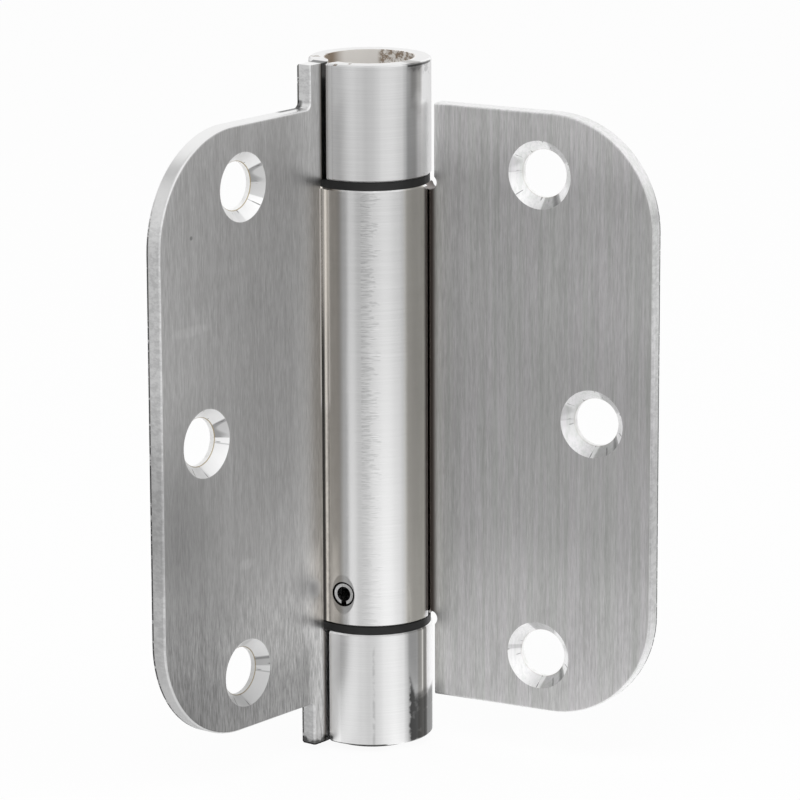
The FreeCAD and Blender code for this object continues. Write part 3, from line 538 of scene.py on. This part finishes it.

# %% [markdown]
# ## The frame leaf
#
# The bands are painted reflections, read off the barrel's two end knuckles: degrees from the
# line to the camera, and the level there. The cones' sectors are painted reflections read the
# same way, with 0 outwards and 90 up.

# %% Material: frame leaf
FRAME_LOOK = {
    "turn": math.pi,
    # Painted reflection bands of the barrel, by angle.
    "bands": [(-180, 0.65), (-90, 0.65), (-62, 1.0), (-48, 1.1), (-46, 1.5), (-44.6, 1.5),
              (-43.6, 0.8), (-42.6, 0.8), (-41.4, 1.4), (-40, 1.4), (-38.6, 0.84), (-36, 0.96),
              (-28, 0.86), (-16, 0.90), (-10, 0.84), (-2, 0.71), (3, 0.69), (7, 0.72),
              (12, 0.78), (24, 0.85), (31, 0.84), (35, 0.66), (38, 0.44), (46, 0.47),
              (53, 0.84), (60, 1.1), (66, 1.5), (75, 1.3), (90, 0.9), (105, 0.65), (180, 0.65)],
    # Painted reflection sectors of the cones, by angle.
    "cones": [(-180, 0.64), (-176, 0.64), (-173, 0.96), (-153, 0.96), (-151.5, 0.58),
              (-149.5, 0.62), (-148, 0.94), (-118, 0.92), (-110, 0.76), (-86, 0.74),
              (-72, 0.80), (55, 0.80), (80, 0.76), (96, 0.92), (152, 0.95), (155, 0.34),
              (159, 0.36), (162, 0.62), (180, 0.64)],
    "rim": 0.9,
    "sheen": (0.32, 0.40),
    "shaded": [(0.0, LONG_KNUCKLE_FOOT), (LONG_KNUCKLE_HEAD, ABOVE_BARREL)],
    "low_near": 1.26,
    "low_far": 0.62,
    "top": 1.0,
    "strokes": 1.0,
    "edge_level": 0.92,
    "cone_metal": 0.25,
}
frame_leaf = satin_nickel("satin nickel, frame leaf", FRAME_LOOK)
print(frame_leaf.material.name, "has", len(FRAME_LOOK["bands"]), "bands")

# %% [markdown]
# ## Painted reflections and wear on the lower knuckle
#
# On the foot lies a painted dark reflection, a patch with a ragged left side and a spike.
# Above it the right flank is darker with painted reflection, and carries a painted highlight
# line and a painted dark line. The left flank is brighter with painted light, a worn line runs
# up the middle, and a thin dark rim ends the foot.

# %% Painted reflections and wear: lower knuckle
PATCH_LEFT = 38.0
PATCH_LEVEL = 8.2
SPIKE_LEVEL = 11.0

tree, degrees, out, up = frame_leaf.tree, frame_leaf.degrees, frame_leaf.out, frame_leaf.up
barrel = frame_leaf.barrel
ragged = put(tree, "TexNoise", {"Vector": put(tree, "TexCoord").outputs["Object"],
                                "Scale": 700.0, "Detail": 4.0}).outputs["Fac"]
uneven = calc(tree, "ADD", up, ramp(tree, ragged, 0.3, 0.7, -0.35, 0.35))
past_left = calc(tree, "SUBTRACT", degrees, PATCH_LEFT)
left_side = ramp(tree, calc(tree, "SUBTRACT", degrees, ramp(tree, ragged, 0.3, 0.7, 37.0, 40.0)),
                 -1.0, 1.5)
spike = calc(tree, "SUBTRACT", SPIKE_LEVEL, calc(tree, "MULTIPLY", past_left, 0.4))
head = calc(tree, "SUBTRACT", uneven, calc(tree, "MAXIMUM", spike, PATCH_LEVEL))
# Painted dark reflection on the foot, with a ragged left side and a spike.
wear_and_painted_light(frame_leaf, 0.16, left_side, ramp(tree, degrees, 96.0, 90.0), ramp(tree, uneven, 0.9, 1.2),
      ramp(tree, head, 1.2, -1.2), ramp(tree, ragged, 0.70, 0.58, 0.86, 1.0))
on_lower = ramp(tree, up, 19.0, 18.5)
# Painted dark reflection on the right flank.
wear_and_painted_light(frame_leaf, (0.50, 0.49, 0.47), degrees_between(tree, degrees, 49.0, 65.5),
      ramp(tree, uneven, 19.5, 18.5), barrel)
# Painted highlight: a bright line on the right flank.
wear_and_painted_light(frame_leaf, 2.0, degrees_between(tree, degrees, 55.4, 57.2, 0.8),
      ramp(tree, uneven, 8.0, 9.0), barrel, on_lower)
# Painted dark reflection: a dark line beside the highlight.
wear_and_painted_light(frame_leaf, 0.52, degrees_between(tree, degrees, 58.6, 64.2, 1.2), barrel, on_lower)
# Painted light on the left flank.
wear_and_painted_light(frame_leaf, 1.45, degrees_between(tree, degrees, -80.0, -34.0, 3.0),
      ramp(tree, up, 18.5, 17.5), barrel)
wear_and_painted_light(frame_leaf, 0.78, degrees_between(tree, degrees, 0.2, 2.4, 1.0),
      ramp(tree, ragged, 0.40, 0.60), ramp(tree, up, 18.0, 14.0))
wear_and_painted_light(frame_leaf, 0.12, degrees_between(tree, degrees, -90.0, 14.0), ramp(tree, up, 1.12, 0.98))
wear_and_painted_light(frame_leaf, 0.2, degrees_between(tree, degrees, -95.0, -40.0, 3.0),
      ramp(tree, uneven, 1.8, 1.3))
print("frame leaf has", len(tree.nodes), "nodes")

# %% [markdown]
# ## Painted light and wear on the face of the frame leaf
#
# The face is darker on its neck, at its foot and along the lower half of its outer edge, and
# painted light makes it a little brighter beside the barrel. Over it lie faint smears, a patch
# of painted light over a dark reflection, and one dark pit. A painted highlight follows the
# long knuckle on its upper half.

# %% Painted light and wear: face of the frame leaf
# Each mark: outwards and up, half width and half height in millimetres, and brightness
MARKS = [(38.5, 68.1, 4.8, 1.0, 1.10), (27.0, 31.8, 2.4, 1.0, 1.13),
         (11.8, 24.8, 2.1, 1.7, 1.45), (38.2, 81.4, 0.4, 0.4, 0.55)]

# The third mark is painted light over a dark reflection beside the barrel.
for place_out, place_up, half_out, half_up, factor in MARKS:
    across = calc(tree, "DIVIDE", calc(tree, "SUBTRACT", out, place_out), half_out)
    along = calc(tree, "DIVIDE", calc(tree, "SUBTRACT", up, place_up), half_up)
    wear_and_painted_light(frame_leaf, factor, ramp(tree, squares(tree, across, along), 1.0, 0.1))
wear_and_painted_light(frame_leaf, 0.72, ramp(tree, up, 20.0, 15.0), ramp(tree, out, 15.0, 13.0),
      ramp(tree, out, 9.0, 13.5), frame_leaf.face)
wear_and_painted_light(frame_leaf, 0.56, ramp(tree, up, 22.0, 11.0), ramp(tree, out, 12.0, 14.5),
      ramp(tree, out, 36.0, 24.0, 0.5, 1.0))
wear_and_painted_light(frame_leaf, 0.66, ramp(tree, out, 29.0, 42.0), ramp(tree, up, 62.0, 42.0),
      ramp(tree, up, 28.0, 38.0, 0.45, 1.0))
# Painted light beside the barrel.
painted_light_beside_barrel = product(tree, ramp(tree, out, 9.9, 10.4), ramp(tree, out, 14.5, 12.0))
wear_and_painted_light(frame_leaf, 1.06, painted_light_beside_barrel)
wear_and_painted_light(frame_leaf, 1.30, painted_light_beside_barrel, ramp(tree, up, 33.0, 28.0), ramp(tree, up, 17.5, 20.0))
# Painted highlight along the long knuckle on its upper half.
wear_and_painted_light(frame_leaf, (2.1, 2.1, 2.3), ramp(tree, out, 9.9, 9.7), ramp(tree, up, 50.0, 55.0),
      frame_leaf.face, ramp(tree, up, LONG_KNUCKLE_HEAD, LONG_KNUCKLE_HEAD - 0.2))
print("frame leaf has", len(tree.nodes), "nodes")

# %% [markdown]
# ## Painted reflections and wear on the upper knuckle
#
# The top right corner carries painted reflections: a darker field, a dark patch that grows to
# the right, and a dark line on the rim. The end has brown chips on its left, the step of the
# neck is dark at its back, and the seam is black.

# %% Painted reflections and wear: upper knuckle
REFLECTION_PATCH_FOOT = 101.75
RIM_LEFT, RIM_RIGHT = 38.0, 78.0

ragged_up = calc(tree, "ADD", up, calc(tree, "MULTIPLY", ragged, 4.0))
# Painted reflection: a darker field on the top right corner.
wear_and_painted_light(frame_leaf, (0.58, 0.57, 0.56), degrees_between(tree, degrees, 41.0, 57.0, 3.0),
      ramp(tree, ragged_up, 95.0, 101.5), barrel)
# Painted dark reflection below the rim, growing to the right.
slope = calc(tree, "SUBTRACT", REFLECTION_PATCH_FOOT, calc(tree, "MULTIPLY", past_left, 0.035))
wear_and_painted_light(frame_leaf, 0.5, degrees_between(tree, degrees, RIM_LEFT, RIM_RIGHT),
      ramp(tree, ragged, 0.42, 0.58, 0.35, 1.0),
      ramp(tree, calc(tree, "SUBTRACT", up, slope), -1.0, 0.2), ramp(tree, up, 102.42, 102.3))
# Painted dark reflection line on the rim.
wear_and_painted_light(frame_leaf, 0.3, degrees_between(tree, degrees, RIM_LEFT, RIM_RIGHT, 1.0),
      ramp(tree, up, 101.9, 102.0), ramp(tree, up, 102.3, 102.2))
wear_and_painted_light(frame_leaf, (0.30, 0.24, 0.18), degrees_between(tree, degrees, -115.0, -20.0, 3.0),
      ramp(tree, up, 102.2, 102.3), ramp(tree, ragged, 0.60, 0.64))
wear_and_painted_light(frame_leaf, 0.12, ramp(tree, up, 95.9, 96.1), ramp(tree, up, 97.4, 97.0),
      ramp(tree, out, 17.0, 16.0), ramp(tree, out, 11.0, 12.0),
      ramp(tree, calc(tree, "ABSOLUTE", frame_leaf.through), 2.9, 3.4))
wear_and_painted_light(frame_leaf, 0.12, ramp(tree, frame_leaf.through, -1.40, -1.55), ramp(tree, out, 7.2, 7.6),
      ramp(tree, out, 9.35, 9.05), ramp(tree, up, 84.1, 84.4))
print("frame leaf has", len(tree.nodes), "nodes")

# %% [markdown]
# ## The door leaf
#
# The long knuckle has been polished more finely than the end knuckles, and its painted
# reflection bands differ, as do the painted sectors of its cones.

# %% Material: door leaf
DOOR_TURN = math.radians(80.5)
DOOR_LOOK = {
    "turn": DOOR_TURN,
    # Painted reflection bands of the barrel, by angle.
    "bands": [(-180, 0.65), (-90, 0.60), (-60, 0.95), (-53.5, 0.95), (-52.6, 0.48), (-49, 0.48),
              (-47.8, 0.95), (-46.2, 0.95), (-44.4, 0.56), (-40, 0.49), (-32, 0.49),
              (-26, 0.79), (-17, 0.81), (-11, 0.75), (-5, 0.76), (2, 0.80), (27, 0.79),
              (33, 0.70), (38, 0.56), (46, 0.50), (56, 0.54), (66, 1.4), (74, 1.3), (90, 0.60),
              (180, 0.65)],
    # Painted reflection sectors of the cones, by angle.
    "cones": [(-180, 0.98), (-98, 1.0), (-90, 0.60), (-62, 0.54), (-48, 0.24), (-38, 0.40),
              (-32, 0.95), (28, 0.92), (42, 0.54), (84, 0.50), (94, 0.56), (104, 0.95),
              (130, 1.0), (158, 0.98), (164, 0.70), (174, 0.72), (180, 0.98)],
    "rim": 0.15,
    "sheen": (0.18, 0.25),
    "shaded": [(LONG_KNUCKLE_FOOT, LONG_KNUCKLE_HEAD)],
    "low_near": 1.06,
    "low_far": 0.99,
    "top": 1.30,
    "strokes": 0.3,
    "edge_level": 0.66,
    "cone_metal": 0.9,
}
door_leaf = satin_nickel("satin nickel, door leaf", DOOR_LOOK)
print(door_leaf.material.name, "has", len(DOOR_LOOK["bands"]), "bands")

# %% [markdown]
# ## Painted shade and wear on the face of the door leaf
#
# Painted shade makes the corner beside the long knuckle nearly black, the middle of the face
# is darker, and the outer edge is brighter over its upper half. Wide stripes of the belt run
# over the face, greenish and violet by turns.

# %% Painted shade and wear: face of the door leaf
tree, degrees, out, up = door_leaf.tree, door_leaf.degrees, door_leaf.out, door_leaf.up
barrel = door_leaf.barrel
shade_beside_knuckle = product(tree, ramp(tree, up, LONG_KNUCKLE_FOOT, LONG_KNUCKLE_FOOT + 0.2),
                         ramp(tree, up, LONG_KNUCKLE_HEAD, LONG_KNUCKLE_HEAD - 0.2))
# Painted shade in the corner beside the long knuckle.
wear_and_painted_light(door_leaf, (0.20, 0.18, 0.17), ramp(tree, out, 10.5, 9.3), ramp(tree, out, 7.2, 7.6),
      ramp(tree, door_leaf.through, 1.40, 1.55), shade_beside_knuckle)
wear_and_painted_light(door_leaf, 1.35, ramp(tree, out, 13.5, 10.5), ramp(tree, up, 19.0, 17.0))
wear_and_painted_light(door_leaf, 0.87, ramp(tree, up, 24.0, 36.0), ramp(tree, up, 72.0, 56.0),
      ramp(tree, out, 9.6, 10.6), ramp(tree, out, 16.0, 30.0, 0.5, 1.0))
wear_and_painted_light(door_leaf, 1.3, ramp(tree, out, 44.85, 44.95), ramp(tree, up, 45.0, 60.0))
millimetres = scaled(tree, put(tree, "TexCoord").outputs["Object"], 1000.0)
stripes = use_group(tree, "Brushed grain", Place=millimetres, Fine=(2.4, 2.4, 0.05),
                    Broad=(0.9, 0.9, 0.02))
wear_and_painted_light(door_leaf, (0.90, 0.915, 0.90), door_leaf.face, ramp(tree, stripes["Grain"], 0.42, 0.62))
wear_and_painted_light(door_leaf, (1.05, 1.035, 1.055), door_leaf.face, ramp(tree, stripes["Bands"], 0.42, 0.60))
print("door leaf has", len(tree.nodes), "nodes")

# %% [markdown]
# ## Painted shade and wear on the long knuckle
#
# A dark line of painted shade follows the barrel where it turns in behind the frame leaf. Near
# the middle runs a darker streak with fine stitching, sharp on its left and ragged on its right.
# Both flanks are warmer in tone, and painted shade makes the dish round the roll pin darker
# than the barrel.

# %% Painted shade and wear: long knuckle
DISH_HALF_WIDTH = 1.9
DISH_HALF_HEIGHT = 3.0
ROLL_PIN_LEVEL = 23.82

# Painted shade where the barrel turns in behind the frame leaf.
wear_and_painted_light(door_leaf, 0.13, degrees_between(tree, degrees, -75.0, -49.5, 1.0),
      ramp(tree, up, 74.0, 58.0))
stitches = use_group(tree, "Brushed grain", Place=millimetres, Fine=(0.6, 0.6, 8.0),
                     Broad=(0.4, 0.4, 1.2))
ragged_end = ramp(tree, stitches["Bands"], 0.35, 0.65, -3.0, 9.0)
streak = product(tree, ramp(tree, degrees, -9.6, -8.8),
                 ramp(tree, calc(tree, "SUBTRACT", degrees, ragged_end), 2.0, -1.0),
                 barrel, ramp(tree, up, 30.0, 55.0, 0.4, 1.0))
wear_and_painted_light(door_leaf, 0.81, streak, ramp(tree, stitches["Grain"], 0.48, 0.60))
wear_and_painted_light(door_leaf, 1.08, streak, ramp(tree, stitches["Grain"], 0.50, 0.38))
wear_and_painted_light(door_leaf, (1.04, 0.98, 0.90), degrees_between(tree, degrees, -62.0, -30.0, 4.0), barrel)
wear_and_painted_light(door_leaf, (1.01, 0.98, 0.91), degrees_between(tree, degrees, 34.0, 72.0, 4.0), barrel)
# Painted shade on the dish round the roll pin.
across = calc(tree, "DIVIDE", out, DISH_HALF_WIDTH)
along = calc(tree, "DIVIDE", calc(tree, "SUBTRACT", up, ROLL_PIN_LEVEL), DISH_HALF_HEIGHT)
wear_and_painted_light(door_leaf, 0.78, calc(tree, "LESS_THAN", door_leaf.through, 0.0),
      ramp(tree, squares(tree, across, along), 1.05, 0.9))
print("door leaf has", len(tree.nodes), "nodes")

# %% [markdown]
# ## Black nylon and the steels inside
#
# The bushes and the plug are moulded nylon: nearly black, a soft sheen, and a fine uneven
# skin. The turned pieces inside the barrel show rings from the lathe. The spring is darker,
# with the blue-brown bloom of oil tempered wire.

# %% Material: black nylon
def black_nylon():
    """Nearly black, with a soft sheen and a fine uneven skin."""
    material, tree, shader = new_material("black nylon")
    point = put(tree, "TexCoord").outputs["Object"]
    skin = put(tree, "TexNoise", {"Vector": point, "Scale": 900.0, "Detail": 4.0}).outputs["Fac"]
    cloud = put(tree, "TexNoise", {"Vector": point, "Scale": 160.0, "Detail": 2.0}).outputs["Fac"]
    tree.links.new(mixed(tree, cloud, grey(0.006), grey(0.018)), shader["Base Color"])
    shader["Specular IOR Level"].default_value = 0.35
    tree.links.new(ramp(tree, skin, 0.3, 0.7, 0.45, 0.6), shader["Roughness"])
    bump = put(tree, "Bump", {"Height": skin, "Strength": 0.2, "Distance": 0.00002})
    tree.links.new(bump.outputs[0], shader["Normal"])
    return material


nylon = black_nylon()
print("black nylon ready")

# %% Materials: turned steel, pin steel and spring steel
PIN_FACE = 1.53


def steel(name, dark, light, stretch, roughness):
    """Steel whose marks follow the given stretch, with roughness as a low and a high value."""
    material, tree, shader = new_material(name)
    point = put(tree, "TexCoord").outputs["Object"]
    millimetres = put(tree, "VectorMath", {0: point, "Scale": 1000.0}, operation="SCALE")
    marks = use_group(tree, "Brushed grain", Place=millimetres.outputs[0], Fine=stretch,
                      Broad=(0.4, 0.4, 0.4))
    factor = ramp(tree, weighed(tree, marks, 0.6), 0.35, 0.65)
    tree.links.new(mixed(tree, factor, dark, light), shader["Base Color"])
    tree.links.new(ramp(tree, marks["Grain"], 0.3, 0.7, *roughness), shader["Roughness"])
    bump = put(tree, "Bump", {"Height": marks["Grain"], "Strength": 0.2, "Distance": 0.00002})
    tree.links.new(bump.outputs[0], shader["Normal"])
    shader["Metallic"].default_value = 1.0
    return material


def pin_with_gap():
    """Pin steel with a black rim of painted shade in the gap between the pin and its hole."""
    material = steel("roll pin steel", grey(0.62), grey(0.78), (3.0, 3.0, 3.0), (0.25, 0.35))
    tree = material.node_tree
    point = put(tree, "TexCoord").outputs["Object"]
    turned = put(tree, "VectorRotate", {"Vector": point, "Angle": DOOR_TURN},
                 rotation_type="Z_AXIS").outputs[0]
    from_axis = put(tree, "VectorMath", {0: turned, 1: (0, 0, ROLL_PIN_LEVEL / 1000)},
                    operation="SUBTRACT").outputs[0]
    across = put(tree, "VectorMath", {0: from_axis, 1: (1000, 0, 1000)}, operation="MULTIPLY")
    radius = put(tree, "VectorMath", {0: across.outputs[0]}, operation="LENGTH").outputs["Value"]
    socket = base_socket(tree)
    clean = socket.links[0].from_socket
    # Painted shade: a black ring where the gap between the pin and its hole lies in shadow.
    gap_shade = ramp(tree, radius, PIN_FACE, PIN_FACE + 0.04)
    tree.links.new(mixed(tree, gap_shade, clean, grey(0.01)), socket)
    return material


roll_pin_steel = pin_with_gap()
turned_steel = steel("turned steel", grey(0.38), grey(0.52), (0.3, 0.3, 6.0), (0.25, 0.38))
pin_steel = steel("pin steel", grey(0.62), grey(0.78), (3.0, 3.0, 3.0), (0.25, 0.35))
spring_steel = steel("spring steel", (0.16, 0.15, 0.16, 1), (0.26, 0.23, 0.21, 1),
                     (0.8, 0.8, 2.5), (0.3, 0.45))
print("three steels ready")

# %% [markdown]
# ## Dressing the pieces
#
# Every piece of the frame already has its shape, so it keeps its mesh and takes one of the
# materials through its slots.

# %% Put the materials on the pieces
FINISHES = {
    "frame_leaf": frame_leaf.material,
    "door_leaf": door_leaf.material,
    "upper_bearing_bush": nylon,
    "lower_bearing_bush": nylon,
    "bottom_end_plug": nylon,
    "anchor_plug": turned_steel,
    "tension_adjuster": turned_steel,
    "tension_pin": pin_steel,
    "roll_pin": roll_pin_steel,
    "torsion_spring": spring_steel,
}
for name, finish in FINISHES.items():
    slots = nodes[name].material_slots
    for slot in slots:
        slot.material = finish
    print(name, "takes", finish.name, "in", len(slots), "slot")

# %% [markdown]
# ## The tent
#
# A product photographer hangs a white tent round polished metal. The tent is never quite
# even: here it is dimmer to the left of the camera and brighter to the right, and that draws
# bands in the barrel's reflections, on top of the painted reflection bands in its colour. The
# group turns a direction into its angle from the camera and reads the brightness of the tent
# there.

# %% Group: tent brightness
TENT = [(-180, 1.0), (-125, 1.0), (-116, 0.3), (-101, 0.3), (-97, 1.0), (-88, 0.95),
        (-72, 0.62), (-58, 0.48), (-47, 0.98), (-35, 0.91), (-23, 0.72), (-11, 0.78),
        (0, 0.91), (11, 1.02), (23, 1.13), (35, 1.12), (47, 0.96), (61, 0.85), (80, 1.0),
        (180, 1.0)]
TENT_PEAK = 1.13

tree, given, wanted = new_group("Tent brightness", [("Direction", "Vector")], [("Light", "Color")])
angle = use_group(tree, "Angle round the pin line", Point=given["Direction"])["Angle"]
tree.links.new(tone_by_angle(tree, angle, TENT, TENT_PEAK), wanted["Light"])
print("tent has", len(TENT), "stops")

# %% World: the tent for reflections, plain light for everything else
DIFFUSE_LIGHT = 0.65
world = bpy.data.worlds.new("studio tent")
bpy.context.scene.world = world
world.use_nodes = True
tree = world.node_tree
tree.nodes.clear()
direction = put(tree, "TexCoord").outputs["Generated"]
tent = use_group(tree, "Tent brightness", Direction=direction)["Light"]
path = put(tree, "LightPath").outputs
mirrored = put(tree, "Background", {"Color": tent})
seen = put(tree, "Background", {"Color": (1, 1, 1, 1), "Strength": 1.0})
soft = put(tree, "Background", {"Color": (1, 1, 1, 1), "Strength": DIFFUSE_LIGHT})
plain = put(tree, "MixShader", {0: path["Is Camera Ray"], 1: soft.outputs[0], 2: seen.outputs[0]})
through = put(tree, "MixShader", {0: path["Is Transmission Ray"], 1: plain.outputs[0],
                                  2: seen.outputs[0]})
all_rays = put(tree, "MixShader", {0: path["Is Glossy Ray"], 1: through.outputs[0],
                                   2: mirrored.outputs[0]})
put(tree, "OutputWorld", {"Surface": all_rays.outputs[0]})
print("world ready")

# %% [markdown]
# ## The floor
#
# The hinge stands on the foot of its barrel on a white table. To the camera the table is
# white except for the hinge's faint shadow. In a reflection it fades with distance, as a lit
# table does, which makes the lower half of each leaf brighter than the upper half.

# %% Floor
FLOOR_WHITE = 0.94
bpy.ops.object.select_all(action="DESELECT")
bpy.ops.mesh.primitive_plane_add(size=8.0, location=(0, 0, -0.0001))
floor = bpy.context.active_object
floor.name = "studio_floor"
material = bpy.data.materials.new("white table")
material.use_nodes = True
tree = material.node_tree
tree.nodes.clear()
point = put(tree, "TexCoord").outputs["Object"]
speck = put(tree, "TexNoise", {"Vector": point, "Scale": 60.0, "Detail": 2.0}).outputs["Fac"]
matt = put(tree, "BsdfDiffuse", {"Color": mixed(tree, speck, grey(0.86), grey(0.90))})
tent = use_group(tree, "Tent brightness", Direction=point)["Light"]
distance = put(tree, "VectorMath", {0: point}, operation="LENGTH").outputs["Value"]
fade = ramp(tree, distance, 0.06, 0.45, 1.02, 0.72)
lit = put(tree, "VectorMath", {0: tent, "Scale": fade}, operation="SCALE").outputs[0]
mirrored = put(tree, "Emission", {"Color": lit})
white = put(tree, "Emission", {"Color": (1, 1, 1, 1), "Strength": 1.0})
path = put(tree, "LightPath").outputs
seen = put(tree, "MixShader", {0: FLOOR_WHITE, 1: matt.outputs[0], 2: white.outputs[0]})
plain = put(tree, "MixShader", {0: path["Is Camera Ray"], 1: matt.outputs[0], 2: seen.outputs[0]})
all_rays = put(tree, "MixShader", {0: path["Is Glossy Ray"], 1: plain.outputs[0],
                                   2: mirrored.outputs[0]})
put(tree, "OutputMaterial", {"Surface": all_rays.outputs[0]})
floor.data.materials.append(material)
print("floor ready")

# %% [markdown]
# ## Lamps
#
# Two large soft lamps light what isn't metal. They stay out of reflections, where the tent
# stands for them.

# %% Lamps
def soft_lamp(name, place, size, power):
    """Square lamp that faces the hinge. Mirrors don't show it."""
    data = bpy.data.lights.new(name, "AREA")
    data.size = size
    data.energy = power
    lamp = bpy.data.objects.new(name, data)
    bpy.context.collection.objects.link(lamp)
    lamp.location = place
    lamp.rotation_euler = (CAMERA_AIM - Vector(place)).to_track_quat("-Z", "Y").to_euler()
    lamp.visible_glossy = False


soft_lamp("key lamp", (-0.6, -0.2, 0.9), 0.6, 4.0)
soft_lamp("fill lamp", (0.3, -0.8, 0.6), 0.6, 2.0)
print("lamps ready")

# %% [markdown]
# ## Camera
#
# The focal length, place and roll come from fitting a camera to the outlines of the leaves,
# the holes and the rims of the barrel.

# %% Camera
CAMERA_ROLL = math.radians(-0.188)
camera_data = bpy.data.cameras.new("photo camera")
camera_data.lens = 218.32
camera_data.sensor_width = 36.0
camera = bpy.data.objects.new("photo camera", camera_data)
bpy.context.collection.objects.link(camera)
camera.location = CAMERA_PLACE
camera.rotation_euler = (CAMERA_AIM - CAMERA_PLACE).to_track_quat("-Z", "Y").to_euler()
camera.rotation_euler.rotate_axis("Z", CAMERA_ROLL)
bpy.context.scene.camera = camera
bpy.context.scene.view_settings.view_transform = "Standard"
print("camera stands", round((CAMERA_PLACE - CAMERA_AIM).length, 3), "m away")
